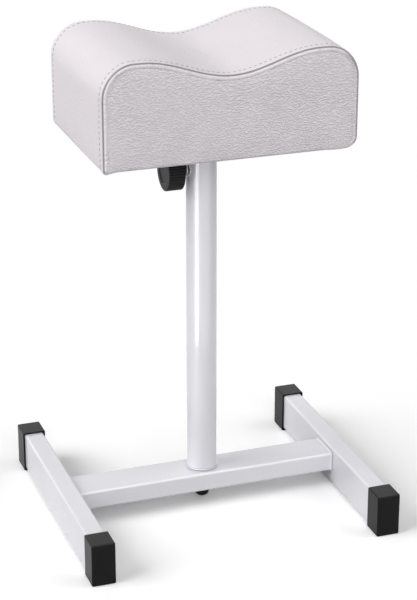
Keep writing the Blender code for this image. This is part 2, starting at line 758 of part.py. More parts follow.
POWDER_WHITE = finish("powder_coat_white", (0.74, 0.73, 0.77), 0.28)
CAP_BLACK = finish("cap_black", (0.018, 0.018, 0.019), 0.42)
KNOB_BLACK = finish("knob_black", (0.022, 0.022, 0.023), 0.38)
ZINC = finish("zinc_plate", (0.62, 0.63, 0.64), 0.32, 1.0)
CHROME = finish("chrome_tube", (0.72, 0.72, 0.73), 0.12, 1.0)
BRASS = finish("brass_tip", (0.72, 0.55, 0.24), 0.3, 1.0)
NYLON = finish("guide_nylon", (0.03, 0.03, 0.032), 0.5)
LEATHERETTE = finish("white_leatherette", (0.76, 0.73, 0.76), 0.5)
FOAM = finish("seat_foam", (0.82, 0.76, 0.55), 0.95)
PLYWOOD = finish("plywood", (0.55, 0.38, 0.22), 0.7)
DUST_CLOTH = finish("dust_cloth", (0.03, 0.03, 0.03), 0.95)

swivel_axis = axis_empty("swivel_axis", (0.0, 0.0, 0.0))
clamp_axis = axis_empty("clamp_axis", (0.0, 0.0, clamp_z), (0.0, -math.pi / 2, 0.0))
knob_axis = axis_empty("knob_axis", (0.0, 0.0, 0.0))
knob_axis.parent = clamp_axis

build_side_bars()
build_crossbar()
build_foot_caps()
build_column()
build_column_fixing()
build_clamp()
build_inner_column()
build_plate_screws()
build_board()
build_cushion()
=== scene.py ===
"""The looks of a pedicure footrest: an H-shaped steel base, a telescopic column with a clamp, and a sewn cushion."""

import math
from functools import cache

import bmesh
import bpy
import numpy as np
from bpy.props import FloatProperty, FloatVectorProperty, PointerProperty
from mathutils import Matrix, Vector


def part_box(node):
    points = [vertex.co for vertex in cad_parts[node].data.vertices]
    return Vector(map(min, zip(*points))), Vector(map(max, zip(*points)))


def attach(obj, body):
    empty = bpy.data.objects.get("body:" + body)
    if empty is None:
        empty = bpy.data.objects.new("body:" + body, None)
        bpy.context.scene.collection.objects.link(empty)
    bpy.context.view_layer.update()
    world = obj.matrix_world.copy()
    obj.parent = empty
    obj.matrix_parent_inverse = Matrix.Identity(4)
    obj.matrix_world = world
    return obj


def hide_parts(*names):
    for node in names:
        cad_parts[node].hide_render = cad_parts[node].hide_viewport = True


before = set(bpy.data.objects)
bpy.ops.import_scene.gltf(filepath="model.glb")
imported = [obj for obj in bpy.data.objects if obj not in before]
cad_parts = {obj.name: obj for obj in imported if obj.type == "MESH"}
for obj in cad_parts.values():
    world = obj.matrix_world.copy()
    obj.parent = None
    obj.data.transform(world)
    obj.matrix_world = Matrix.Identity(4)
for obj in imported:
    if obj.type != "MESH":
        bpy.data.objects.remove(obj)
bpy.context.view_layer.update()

bl_info = {
    "name": "Pedicure footrest",
    "version": (1, 0, 0),
    "blender": (4, 5, 0),
    "location": "3D View > Sidebar > Footrest",
    "description": "Builds a pedicure footrest with a sewn cushion on a telescopic column",
    "category": "Object",
}

# The photograph's frame and the camera that was fitted to it
PICTURE_WIDTH = 417
PICTURE_HEIGHT = 600
CAMERA_AZIMUTH = -19.41
CAMERA_ELEVATION = 21.92
FOCAL_PIXELS = 1928.7
CAMERA_DISTANCE = 2.4124
TARGET_RIGHT = 0.00878
TARGET_HEIGHT = 0.27527
SENSOR = 36.0

# The soft lights: degrees round from the front toward the left, degrees up, degrees wide, strength
SOFT_LIGHTS = (
    ("front_light", 8.0, 18.0, 50.0, 0.57),
    ("left_light", 90.0, 34.0, 50.0, 0.75),
    ("right_light", -68.0, 38.0, 50.0, 0.31),
    ("rear_light", 180.0, 28.0, 60.0, 0.16),
)

# The soft boxes, which only reflections see: place, the point that it faces, width, height, watts
SOFT_BOXES = (
    ("high_box", (0.62, -0.70, 1.9), (0.0, 0.0, 0.3), 1.4, 1.1, 32.0),
    ("rear_box", (-0.80, 2.00, 0.75), (0.0, 0.0, 0.1), 0.8, 0.6, 4.0),
    ("left_strip", (-0.387, -0.283, 0.21), (0.0, 0.0, 0.21), 0.25, 0.38, 3.3),
    ("front_strip", (0.04, -0.50, 0.15), (0.0, 0.0, 0.15), 0.90, 0.34, 2.0),
)

# The floor: how pale it is seen, how pale it is to the light on the object, and where it runs out to white
FLOOR_SEEN = (1.0, 0.16)
FLOOR_BOUNCE = 0.34
FLOOR_FADE = (0.24, 0.5)
FLOOR_RADII = (0.4, 1.0, 3.0, 14.0)
FLOOR_DROP = 0.0002

# Steel stock, welds and the hole for an M8 thread
STOCK_CORNER = 0.003
STOCK_WALL = 0.0015
CROSSBAR_WIDTH = 0.05
WELD_LEG = 0.003
WELD_GAP = 0.0006
WELD_RIPPLE_PITCH = 0.0027
WELD_RIPPLE = 0.00012
WELD_WANDER = 0.00008
SADDLE_WELD_LEG = 0.0016
GAP = 0.0003                      # left between pieces that touch
M8_HOLE = 0.0043
PLACES = ("front_left", "front_right", "rear_left", "rear_right")

# Clamp and screws
THREAD_PITCH = 0.00125
THREAD_DEPTH = 0.0006
THREAD_STEP = 0.00018
THREAD_RUNOUT = 0.0006
COLUMN_RADIUS = 0.019
BOSS_SEAT = 0.0186                # the column's radius, a little inside its face
RING_SEAT = 0.0191                # the same, a little outside its face
RIB_COUNT = 44
RIB_DEPTH = 0.0007
SOCKET_FLAT = 0.002

# Cushion, as sewn
COVER_HALF = 0.1575
COVER_ASIDE = 0.001
COVER_DEPTH = 0.2155
COVER_CREST = 0.6158
SADDLE_DEPTH = 0.0232
SHOULDER_RADIUS = 0.040
CREST_FLAT = 0.009
CROWN_POWER = 4
CROWN_LEFT = 0.65                 # how much less the left end stands proud
CROWN_RIGHT = 0.3                 # how much more the right end does
CORNERS = (0.009, 0.010)          # the rear bottom corners, left and right
FRONT_CORNERS = (0.0048, 0.0135)
PANEL_CORNER = 0.0068
LEFT_PULL = 0.0016                # how far the front left edge is pulled in
FOLD_RADIUS = 0.0042
FOLD_START = 0.0049
TOP_STATIONS = 144
END_STATIONS = 56
ARC_STATIONS = 15
CORNER_STATIONS = 5
COARSE_STEP = 4

# The cloth simulation that settles the cover, and the rows that it takes, in millimetres
SETTLE_FRAMES = 20
SETTLE_GIVE = 0.0012
SETTLE_SMOOTHING = 6
SETTLE_FOOT = 0.003               # the height over the cover's underside that is held by the board
SETTLE_CLOTH = {
    "vertex_group_mass": "held", "use_pressure": True, "uniform_pressure_force": 0.5, "mass": 0.35, "quality": 6,
    "tension_stiffness": 18.0, "compression_stiffness": 12.0, "bending_stiffness": 0.8, "shrink_min": -0.002,
}
SETTLE_INSETS = (14.0, 8.6, 5.1, 2.6)
SETTLE_BACKS = (4.4, 11.3, 18.5, 27.5, 40.5, 57.0, 75.5, 94.0)

# One seam, from inside the panel over its rolled edge and down the groove onto the band:
# how far in from the outline and how far back from the panel's plane, in millimetres
PANEL_SECTION = (
    (14.0, 0.0), (11.6, 0.0), (9.8, 0.0), (8.6, 0.02), (7.7, 0.1), (7.0, 0.24), (6.4, 0.42),
    (5.9, 0.42), (5.5, 0.1), (5.1, -0.32), (4.6, -0.7), (4.0, -0.98), (3.3, -1.12), (2.6, -1.06),
    (2.0, -0.82), (1.5, -0.4), (1.18, 0.15), (1.02, 0.75),
)
GROOVE_SECTION = ((0.95, 1.45), (0.72, 1.85), (0.42, 1.95))
BAND_SECTION = (
    (0.14, 2.15), (-0.04, 2.6), (-0.2, 3.3), (-0.34, 4.4), (-0.42, 5.9), (-0.38, 7.6), (-0.22, 9.1),
    (-0.04, 10.2), (0.14, 10.8), (0.22, 11.3), (0.14, 11.8), (0.02, 12.5), (0.0, 13.6), (0.0, 15.5),
    (0.0, 18.5), (0.0, 22.5), (0.0, 27.5), (0.0, 33.5), (0.0, 40.5), (0.0, 48.5), (0.0, 57.0),
    (0.0, 66.0), (0.0, 75.5), (0.0, 85.0), (0.0, 94.0), (0.0, 101.5),
)
STITCH_BACK = 11.3
STITCH_SPAN = (0.12, 0.88)        # the share of the pitch that a stitch takes
STITCH_THICK = 0.00042
STITCH_SUNK = 0.0003
SAG_CORNERS = ((0.0009, 0.134, 0.011), (0.0014, -0.155, 0.008))  # how deep, where along X and how wide
SAG_END = (0.0024, -0.153, 0.010)
FOLD_ROWS = 15                    # rows of the section that share the fold under the board

# Inside the cushion: the board's insets at each height under its top, the foam's at each depth behind its face
BOARD_CORNER = 0.010
BOARD_EASE = 0.0022
BOARD_FOOT = ((0.009, 0.0), (0.0055, 0.0006), (0.003, 0.002), (0.0013, 0.0045), (0.0004, 0.0078))
BOARD_TOP = ((0.0, 0.0008), (0.0002, 0.0002), (0.0008, 0.0))
FOAM_HALF = 0.1032
FOAM_SECTION = (
    (0.0, 0.0075), (0.0006, 0.0052), (0.0022, 0.0034), (0.0052, 0.0028), (0.03, 0.0024), (0.07, 0.0022),
    (0.1043, 0.0022),
)

# The dust cloth and its staples
CLOTH_WIDTH = 0.294
CLOTH_DEPTH = 0.197
CLOTH_HEM = 0.009
CLOTH_EDGE = (0.016, 0.012)       # the rim that lies on the cover's turned edge, at the ends and at the long sides
CLOTH_STEP = 0.010                # how far in it takes to come up to the board
CLOTH_FLAT = (0.084, 0.064)       # half the field under the plate, which stays flat
STAPLE_IN = 0.0045
STAPLE_ENDS = (0.014, 0.024)      # from a corner to the first staple of a long and of a short row
STAPLE_TURN = 0.22                # how far a staple may stray from its row
STAPLE_SHIFT = 0.004
STAPLE_PATH = (
    (-0.005, 0.0012), (-0.005, -0.00010), (-0.0047, -0.00042), (0.0047, -0.00042), (0.005, -0.00010), (0.005, 0.0012),
)
STAPLE_LEGS = (0, 1, 4, 5)
STAPLE_SECTION = (
    (0.0006, 0.0), (0.00042, 0.00028), (-0.00042, 0.00028), (-0.0006, 0.0), (-0.00042, -0.00028), (0.00042, -0.00028),
)


class Shade:
    """A shader socket in a Python expression. Each operator adds a Math node."""

    def __init__(self, finish, socket):
        self.finish = finish
        self.socket = socket

    def math(self, operation, *terms):
        return self.finish.node("ShaderNodeMath", {"operation": operation}, dict(enumerate(terms)))

    def __add__(self, other):
        return self.math("ADD", self, other)

    def __radd__(self, other):
        return self.math("ADD", other, self)

    def __sub__(self, other):
        return self.math("SUBTRACT", self, other)

    def __rsub__(self, other):
        return self.math("SUBTRACT", other, self)

    def __mul__(self, other):
        return self.math("MULTIPLY", self, other)

    def __rmul__(self, other):
        return self.math("MULTIPLY", other, self)

    def least(self, other):
        return self.math("MINIMUM", self, other)

    def most(self, other):
        return self.math("MAXIMUM", self, other)

    def step(self, low, high):
        """0 below low and 1 above high, with a smooth rise between."""
        settings = {"interpolation_type": "SMOOTHSTEP"}
        return self.finish.node("ShaderNodeMapRange", settings, {0: self, 1: low, 2: high, 3: 0.0, 4: 1.0})


class Finish:
    """A node tree for a material or the world."""

    def __init__(self, holder):
        self.holder = holder
        holder.use_nodes = True
        self.tree = holder.node_tree
        self.tree.nodes.clear()

    def node(self, kind, settings=None, sockets=None, output=0):
        """Adds a node: its settings first, then the values or links of its sockets."""
        made = self.tree.nodes.new(kind)
        for name, value in (settings or {}).items():
            setattr(made, name, value)
        for name, value in (sockets or {}).items():
            if isinstance(value, Shade):
                self.tree.links.new(value.socket, made.inputs[name])
            else:
                made.inputs[name].default_value = value
        return Shade(self, made.outputs[output]) if len(made.outputs) else made

    def place(self, *scale):
        """The point on the object, in metres, with each axis scaled."""
        point = self.node("ShaderNodeTexCoord", output="Object")
        return self.node("ShaderNodeVectorMath", {"operation": "MULTIPLY"}, {0: point, 1: scale}) if scale else point

    def noise(self, place, scale, detail=2.0, roughness=0.5, distortion=0.0):
        sockets = {"Vector": place, "Scale": scale, "Detail": detail, "Roughness": roughness, "Distortion": distortion}
        return self.node("ShaderNodeTexNoise", {"noise_dimensions": "3D"}, sockets)

    def cells(self, place, scale, feature="F1"):
        return self.node("ShaderNodeTexVoronoi", {"feature": feature}, {"Vector": place, "Scale": scale})

    def mask(self, name):
        """A number that the mesh carries at its points."""
        return self.node("ShaderNodeAttribute", {"attribute_name": name}, output="Fac")

    def blend(self, factor, first, second):
        """A mix of two colours."""
        first, second = ((*c, 1.0) if isinstance(c, tuple) else c for c in (first, second))
        return self.node("ShaderNodeMix", {"data_type": "RGBA"}, {0: factor, 6: first, 7: second}, 2)

    def bump(self, height, depth, under=None, strength=1.0):
        """A normal from a height of 0 to 1, depth metres deep, over another normal."""
        sockets = {"Height": height, "Distance": depth, "Strength": strength}
        if under:
            sockets["Normal"] = under
        return self.node("ShaderNodeBump", sockets=sockets)

    def seen(self):
        """1 for the rays that see a surface: from the camera, in a reflection or through glass."""
        rays = ("Is Camera Ray", "Is Glossy Ray", "Is Transmission Ray")
        camera, glossy, glass = (self.node("ShaderNodeLightPath", output=ray) for ray in rays)
        return (camera + glossy + glass).least(1.0)

    def surface(self, **sockets):
        """A finished material from the values or links of its shader's sockets."""
        sockets = {name.replace("_", " "): value for name, value in sockets.items()}
        for name, value in sockets.items():
            if isinstance(value, tuple):
                sockets[name] = (*value, 1.0)
        shader = self.node("ShaderNodeBsdfPrincipled", sockets=sockets)
        self.node("ShaderNodeOutputMaterial", sockets={"Surface": shader})
        return self.holder

# The finish of each slot that is black plastic: its name, colour, depth of the grain, roughness, specular level
BLACKS = {
    "cap_black": ("cap_plastic", (0.0056, 0.0056, 0.0057), 0.00003, 0.30, 0.10),
    "knob_black": ("knob_plastic", (0.0055, 0.0055, 0.0058), 0.00005, 0.36, 0.10),
    "guide_nylon": ("nylon", (0.028, 0.028, 0.03), 0.00004, 0.5, 0.4),
}

# The finish of each slot that is metal: its name, two colours, roughness, marks to the metre on each axis, their depth
METALS = {
    "zinc_plate": ("zinc_plating", (0.60, 0.62, 0.66), (0.68, 0.67, 0.60), 0.24, (900.0, 900.0, 900.0), 0.00002),
    "chrome_tube": ("chromed_tube", (0.55, 0.55, 0.57), (0.62, 0.62, 0.63), 0.07, (1400.0, 1400.0, 25.0), 0.000004),
    "brass_tip": ("turned_brass", (0.66, 0.49, 0.20), (0.76, 0.58, 0.27), 0.22, (3000.0, 300.0, 300.0), 0.00002),
    "staple": ("staple_wire", (0.55, 0.55, 0.56), (0.66, 0.66, 0.67), 0.28, (700.0, 700.0, 700.0), 0.00001),
}


def material(name):
    return Finish(bpy.data.materials.new(name))


def sizes():
    return bpy.context.scene.footrest


def scaled(colour, share):
    return tuple(c * share for c in colour)


@cache
def powder_coat():
    """Glossy white powder coat: a faint orange peel and a slightly uneven white."""
    coat = material("powder_coat")
    point = coat.place()
    drift = coat.noise(point, 14.0, 3.0)
    peel = coat.noise(point, 420.0, 2.0, 0.4)
    speck = coat.cells(point, 260.0).step(0.05, 0.0) * coat.noise(point, 60.0).step(0.6, 0.7)
    white = tuple(sizes().frame_colour)
    colour = coat.blend(drift.step(0.3, 0.7), scaled(white, 0.965), white)
    colour = coat.blend(speck * 0.25, colour, (0.55, 0.54, 0.56))
    return coat.surface(
        Base_Color=colour,
        Roughness=0.34 + 0.10 * coat.noise(point, 70.0, 3.0),
        Specular_IOR_Level=0.3,
        Coat_Weight=0.5,
        Coat_Roughness=0.045,
        Normal=coat.bump(peel, 0.00006),
    )


@cache
def leatherette(name, grained_and_shaded):
    """Coated upholstery cloth. The band is drawn smooth, and the panels keep a crumpled grain. The panels' copy is
    painted darker as shade, and its grain is coloured as if lit from above; both copies take painted shade in the
    seam's groove, and the panels a painted highlight on their rolled lip.
    """
    skin = material(name)
    point = skin.place()
    lip, groove_shade, run = skin.mask("lip"), skin.mask("groove_shade"), skin.mask("run")
    drift = skin.noise(point, 11.0, 3.0)
    pebble = skin.cells(point, 1150.0, "SMOOTH_F1")
    pore = skin.cells(skin.place(1.0, 1.0, 0.8), 620.0, "DISTANCE_TO_EDGE").step(0.0, 0.16)
    height = pebble * 0.25 + pore * 0.2
    pucker = skin.noise(skin.node("ShaderNodeCombineXYZ", sockets={"X": run}), 330.0, 2.0, 0.55)
    pucker_wide = skin.noise(skin.node("ShaderNodeCombineXYZ", sockets={"X": run, "Y": 3.0}), 60.0, 1.0)
    gather = lip * pucker.step(0.32, 0.68) * pucker_wide.step(0.38, 0.62)
    normal = skin.bump(gather, 0.0009)
    shade = drift.step(0.3, 0.7) * 0.5
    wide = skin.place(0.42, 0.42, 1.0)
    above = skin.node("ShaderNodeVectorMath", {"operation": "ADD"}, {0: wide, 1: (0.0, 0.0, 0.0018)})
    # Painted shade: the ridge is the grain's height less its height just above, so where it colours the panels it reads
    # as grain lit from above.
    ridge = skin.noise(wide, 770.0, 0.5, 0.4) - skin.noise(above, 770.0, 0.5, 0.4)
    rough = skin.noise(point, 30.0, 2.0).step(0.25, 0.75)
    crumple_and_shade = 0.5 + (ridge.step(-0.22, 0.22) - 0.5) * (0.75 + 0.25 * rough) * (1.0 - lip * 0.8)
    normal = skin.bump(crumple_and_shade, sizes().grain_depth * (1.0 if grained_and_shaded else 0.3), normal)
    if grained_and_shaded:
        # Painted highlight: the rolled lip is set to the light colour, with lighter patches on its puckers.
        shade = (shade * 0.2 + crumple_and_shade * 0.9).most(lip * (0.5 + 0.5 * pucker.step(0.34, 0.6)))
    normal = skin.bump(height, 0.00012, normal)
    # Painted shade: the panels' grained copy is darker than the band, for the lesser light on the front and rear.
    dark, light = (scaled(sizes().cover_colour, s) for s in ((0.845, 1.02) if grained_and_shaded else (0.985, 1.035)))
    colour = skin.blend(shade.least(1.0), dark, light)
    # Painted shade: the groove mask darkens the seam's groove and the panel's turned-away edge towards near black.
    colour = skin.blend(groove_shade * 0.85, colour, (0.16, 0.15, 0.16))
    return skin.surface(
        Base_Color=colour,
        Roughness=0.54 + 0.12 * drift - 0.05 * pore,
        Specular_IOR_Level=0.22,
        Normal=normal,
    )


@cache
def stitching_thread():
    """Bonded thread, twisted. Its dark greys are painted shade, for the shadow in the stitch holes."""
    thread = material("stitching_thread")
    twist = thread.noise(thread.place(), 2600.0, 1.0)
    # Painted shade: far darker than the cover, for the shadow in the stitch holes.
    colour = thread.blend(twist, (0.17, 0.16, 0.18), (0.30, 0.28, 0.31))
    return thread.surface(Base_Color=colour, Roughness=0.7, Normal=thread.bump(twist, 0.0001))


@cache
def moulded_black(slot):
    """Moulded black plastic: spark grain and faint flow marks."""
    name, colour, grain, roughness, specular = BLACKS[slot]
    plastic = material(name)
    point = plastic.place()
    spark = plastic.noise(point, 1500.0, 2.0, 0.6)
    flow = plastic.noise(plastic.place(1.0, 1.0, 0.4), 40.0, 3.0, 0.55, 0.4)
    rub = plastic.noise(point, 240.0, 4.0, 0.7).step(0.62, 0.78)
    dark, light = scaled(colour, 0.8), tuple(c * 1.35 + 0.001 for c in colour)
    return plastic.surface(
        Base_Color=plastic.blend(flow.step(0.3, 0.7) * 0.7 + rub * 0.3, dark, light),
        Roughness=roughness + 0.10 * flow - 0.06 * rub,
        Specular_IOR_Level=specular,
        Normal=plastic.bump(spark, grain),
    )


@cache
def bright_metal(slot):
    """Bare or plated metal with fine marks along one direction."""
    name, first, second, roughness, brushed, depth = METALS[slot]
    metal = material(name)
    point = metal.place()
    marks = metal.noise(metal.place(*brushed), 1.0, 3.0, 0.6)
    bloom = metal.noise(point, 55.0, 3.0)
    return metal.surface(
        Base_Color=metal.blend(bloom.step(0.35, 0.65), first, second),
        Metallic=1.0,
        Roughness=roughness + 0.10 * marks + 0.06 * bloom,
        Normal=metal.bump(marks, depth),
    )


@cache
def plywood():
    """Birch plywood: plies of alternate grain, and a rotary-cut face."""
    wood = material("plywood")
    point = wood.place()
    height = wood.node("ShaderNodeSeparateXYZ", sockets={0: point}, output="Z")
    ply = (height * (math.pi / 0.0017)).math("SINE", height * (math.pi / 0.0017)).step(-0.25, 0.25)
    grain = wood.noise(wood.place(26.0, 420.0, 420.0), 1.0, 4.0, 0.6, 0.8)
    figure = wood.noise(wood.place(4.0, 26.0, 4.0), 1.0, 3.0, 0.5, 1.6)
    face = wood.blend(figure, (0.50, 0.34, 0.19), (0.66, 0.48, 0.29))
    core = wood.blend(ply, (0.30, 0.18, 0.09), face)
    colour = wood.blend(grain.step(0.35, 0.75) * 0.5, core, (0.36, 0.22, 0.11))
    return wood.surface(Base_Color=colour, Roughness=0.62 + 0.2 * grain, Normal=wood.bump(grain, 0.00015))


@cache
def foam():
    """Open-cell polyurethane foam."""
    cut = material("open_cell_foam")
    point = cut.place()
    cells = cut.cells(point, 900.0, "DISTANCE_TO_EDGE")
    age = cut.noise(point, 18.0, 3.0)
    colour = cut.blend(age, (0.86, 0.80, 0.60), (0.78, 0.70, 0.46))
    colour = cut.blend(cells.step(0.0, 0.35) * 0.5, (0.92, 0.88, 0.72), colour)
    return cut.surface(Base_Color=colour, Roughness=0.95, Normal=cut.bump(cells.step(0.0, 0.4), 0.0006))


@cache
def non_woven():
    """Black spun-bonded dust cloth: crossed fibres and a field of pressed points."""
    cloth = material("non_woven_cloth")
    along = cloth.noise(cloth.place(2400.0, 160.0, 400.0), 1.0, 3.0, 0.7)
    across = cloth.noise(cloth.place(160.0, 2400.0, 400.0), 1.0, 3.0, 0.7)
    fibre = along.most(across)
    press = cloth.cells(cloth.place(1.0, 1.0, 0.0), 480.0).step(0.34, 0.22)
    colour = cloth.blend(fibre.step(0.4, 0.8), (0.018, 0.018, 0.019), (0.060, 0.060, 0.062))
    colour = cloth.blend(press * 0.5, colour, (0.012, 0.012, 0.012))
    return cloth.surface(
        Base_Color=colour,
        Roughness=0.82 + 0.1 * fibre - 0.2 * press,
        Normal=cloth.bump(fibre - press * 0.8, 0.0002),
    )


def finish_of(slot):
    """The finish that shows a slot of the record."""
    if slot in BLACKS:
        return moulded_black(slot)
    if slot in METALS:
        return bright_metal(slot)
    others = {"powder_coat_white": powder_coat, "seat_foam": foam, "plywood": plywood, "dust_cloth": non_woven}
    return others[slot]()


def ramp(value, low, high):
    """0 below low and 1 above high, with a straight rise between."""
    return np.clip((value - low) / (high - low), 0.0, 1.0)


def smooth(share):
    return share * share * (3 - 2 * share)


def quarter(steps):
    """The angles of a quarter turn."""
    return [math.pi / 2 * step / steps for step in range(steps + 1)]


def full_turn(count):
    """The angles of the points of a ring."""
    return np.arange(count) * 2 * math.pi / count


def run_along(line):
    """How far along a line each of its points lies."""
    return np.concatenate([[0.0], np.cumsum(np.linalg.norm(np.diff(line, axis=0), axis=1))])


def level(outline, height):
    """A flat outline at a height."""
    return np.column_stack([outline, np.full(len(outline), height)])


def circle(angles, radius, height):
    """A ring about Z. Its radius may change from angle to angle."""
    return level(np.stack([radius * np.cos(angles), radius * np.sin(angles)], axis=1), height)


def eased(corners, steps=5, closed=False):
    """A line through corners of (x, y, radius), each rounded to its radius."""
    points = []
    for i, (x, y, radius) in enumerate(corners):
        here = Vector((x, y))
        if radius <= 0 or (not closed and i in (0, len(corners) - 1)):
            points.append((x, y))
            continue
        before = (Vector(corners[i - 1][:2]) - here).normalized()
        after = (Vector(corners[(i + 1) % len(corners)][:2]) - here).normalized()
        half = before.angle(after) / 2
        centre = here + (before + after).normalized() * radius / math.sin(half)
        start = here + before * radius / math.tan(half) - centre
        end = here + after * radius / math.tan(half) - centre
        turn = math.copysign(start.angle(end), start.x * end.y - start.y * end.x)
        for step in range(steps + 1):
            cos, sin = math.cos(turn * step / steps), math.sin(turn * step / steps)
            points.append((centre.x + start.x * cos - start.y * sin, centre.y + start.x * sin + start.y * cos))
    return points


def oblong(width, height, corner, steps=8, spacing=None):
    """A rounded rectangle's points and outward normals, as two arrays."""
    points, normals = [], []
    for side_x, side_y, turns in ((1, 1, 0), (-1, 1, 1), (-1, -1, 2), (1, -1, 3)):
        centre = np.array((side_x * (width / 2 - corner), side_y * (height / 2 - corner)))
        for step in range(steps + 1):
            angle = math.pi / 2 * (turns + step / steps)
            normal = np.array((math.cos(angle), math.sin(angle)))
            points.append(centre + corner * normal)
            normals.append(normal)
    if spacing:
        full, full_normals = [], []
        for i, point in enumerate(points):
            after = points[(i + 1) % len(points)]
            full.append(point)
            full_normals.append(normals[i])
            cuts = int(np.linalg.norm(after - point) / spacing)
            for cut in range(1, cuts):
                full.append(point + (after - point) * cut / cuts)
                full_normals.append(normals[i])
        points, normals = full, full_normals
    return np.array(points), np.array(normals)


def mesh_from(name, points, faces):
    mesh = bpy.data.meshes.new(name)
    mesh.from_pydata([tuple(point) for point in points], [], faces)
    return mesh


def woven_faces(count, width, back=False):
    """The faces between closed rows of points, and from the last row back to the first."""
    faces = []
    for i in range(count if back else count - 1):
        after = (i + 1) % count
        for j in range(width):
            k = (j + 1) % width
            faces.append((i * width + j, i * width + k, after * width + k, after * width + j))
    return faces


def woven(rows, back=False, caps=()):
    """A mesh through closed rows of points, which may close on the first row or end in flat caps."""
    rows = np.asarray(rows, float)
    count, width = rows.shape[:2]
    faces = woven_faces(count, width, back=back)
    if "first" in caps:
        faces.append(tuple(range(width - 1, -1, -1)))
    if "last" in caps:
        faces.append(tuple((count - 1) * width + j for j in range(width)))
    return mesh_from("woven", rows.reshape(-1, 3), faces)


def stacked(width, depth, rings, steps=8):
    """A solid through rounded rectangles, each given as its inset, its height and its corner."""
    rows = []
    for inset, height, corner in rings:
        outline, _ = oblong(width - 2 * inset, depth - 2 * inset, corner, steps)
        rows.append(level(outline, height))
    return woven(rows, caps=("first", "last"))


def turned(profile, segments=96, reach=None):
    """A line of (radius, height) points turned about Z. reach(angles, radius) can shape each ring."""
    angles = full_turn(segments)
    rings, poles = [], {}
    for i, (radius, height) in enumerate(profile):
        if radius < 1e-7:
            poles[i] = height
        else:
            rings.append(circle(angles, reach(angles, radius) if reach else radius, height))
    closed = not poles and profile[0] == profile[-1]
    if closed:
        rings = rings[:-1]
    mesh = woven(rings, back=closed)
    if poles:
        body = bmesh.new()
        body.from_mesh(mesh)
        verts = list(body.verts)
        for i, height in poles.items():
            ring = verts[:segments] if i == 0 else verts[-segments:]
            pole = body.verts.new((0.0, 0.0, height))
            for j in range(segments):
                body.faces.new((ring[j], ring[(j + 1) % segments], pole))
        body.to_mesh(mesh)
        body.free()
    return mesh


def lathed(section, steps, segments):
    """A closed section of (radius, height, rounding) turned about Z."""
    profile = eased(section, steps, closed=True)
    return turned(profile + profile[:1], segments)


def linked(name, data):
    """A new object in the scene."""
    made = bpy.data.objects.new(name, data)
    bpy.context.scene.collection.objects.link(made)
    return made


def outward(mesh):
    """Turns a mesh's faces outward."""
    shape = bmesh.new()
    shape.from_mesh(mesh)
    bmesh.ops.recalc_face_normals(shape, faces=shape.faces)
    shape.to_mesh(mesh)
    shape.free()


def piece(name, mesh, body, replaces, slot, matrix=None, finishes=None, sharp=40.0, weighted=True):
    """Links a mesh as a piece that rides on a body, smooth except over its sharp edges."""
    outward(mesh)
    shape = bmesh.new()
    shape.from_mesh(mesh)
    for face in shape.faces:
        face.smooth = True
    for edge in shape.edges:
        edge.smooth = len(edge.link_faces) == 2 and edge.calc_face_angle(0.0) < math.radians(sharp)
    if matrix:
        shape.transform(matrix)
    shape.to_mesh(mesh)
    shape.free()
    mesh.name = name
    made = linked(name, mesh)
    for finish in finishes or [finish_of(slot)]:
        mesh.materials.append(finish)
    if weighted:
        made.modifiers.new("even_flats", "WEIGHTED_NORMAL").keep_sharp = True
    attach(made, body)
    if replaces:
        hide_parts(*((replaces,) if isinstance(replaces, str) else replaces))
    return made


def joined(meshes):
    """Several meshes as one."""
    body = bmesh.new()
    for mesh in meshes:
        body.from_mesh(mesh)
        bpy.data.meshes.remove(mesh)
    whole = bpy.data.meshes.new("joined")
    body.to_mesh(whole)
    body.free()
    return whole


def tube_mesh(width, height, low, high):
    """Rectangular tube along Z, open at both ends."""
    outer, _ = oblong(width, height, STOCK_CORNER)
    inner, _ = oblong(width - 2 * STOCK_WALL, height - 2 * STOCK_WALL, STOCK_CORNER - STOCK_WALL)
    steps = np.linspace(low, high, 13)
    return woven([level(outer, z) for z in steps] + [level(inner, z) for z in steps[::-1]], back=True)


ALONG_Y = Matrix.Rotation(-math.pi / 2, 4, "X")
ALONG_X = Matrix.Rotation(math.pi / 2, 4, "Y")
OUT_LEFT = Matrix.Rotation(-math.pi / 2, 4, "Y")


class FOOTREST_OT_side_bars(bpy.types.Operator):
    """Two side bars of rectangular tube"""

    bl_idname = "footrest.side_bars"
    bl_label = "Side bars"

    def execute(self, context):
        for side in ("left", "right"):
            low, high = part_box(f"side_bar_{side}")
            size = high - low
            mesh = tube_mesh(size.x, size.z, -size.y / 2, size.y / 2)
            matrix = Matrix.Translation((high + low) / 2) @ ALONG_Y
            piece(f"bar_{side}", mesh, "base", f"side_bar_{side}", "powder_coat_white", matrix)
        return {"FINISHED"}


def weld_mesh(width, height):
    """A rippled bead round the crossbar's end, whose face is at Z 0. A fine gap is left at the side bar."""
    outline, normals = oblong(width, height, STOCK_CORNER, 14, 0.0005)
    run = run_along(outline)
    share = run / (run[-1] + np.linalg.norm(outline[0] - outline[-1]))
    waves = round(run[-1] / share[-1] / WELD_RIPPLE_PITCH)
    ripple = WELD_RIPPLE * (1 - 2 * (share * waves % 1.0) ** 1.6) + WELD_WANDER * np.sin(share * 2 * math.pi * 5)
    leg = WELD_LEG - WELD_GAP
    section = [(WELD_LEG, -0.0001)]
    section += [(WELD_GAP + leg * (1 - math.sin(a)) * 0.96, leg * (1 - math.cos(a)) ** 0.9) for a in quarter(8)]
    section += [(WELD_GAP * 0.75, WELD_LEG * 0.74), (WELD_GAP * 0.7, 0.0012), (WELD_GAP * 0.7, -0.0004)]
    rows = []
    for step, (along, out) in enumerate(section):
        rough = ripple * (math.sin(math.pi * min(step / 10, 1.0)) if step else 0.0)
        rows.append(level(outline + normals * (out + rough)[:, None], -along))
    return woven(rows, back=True)


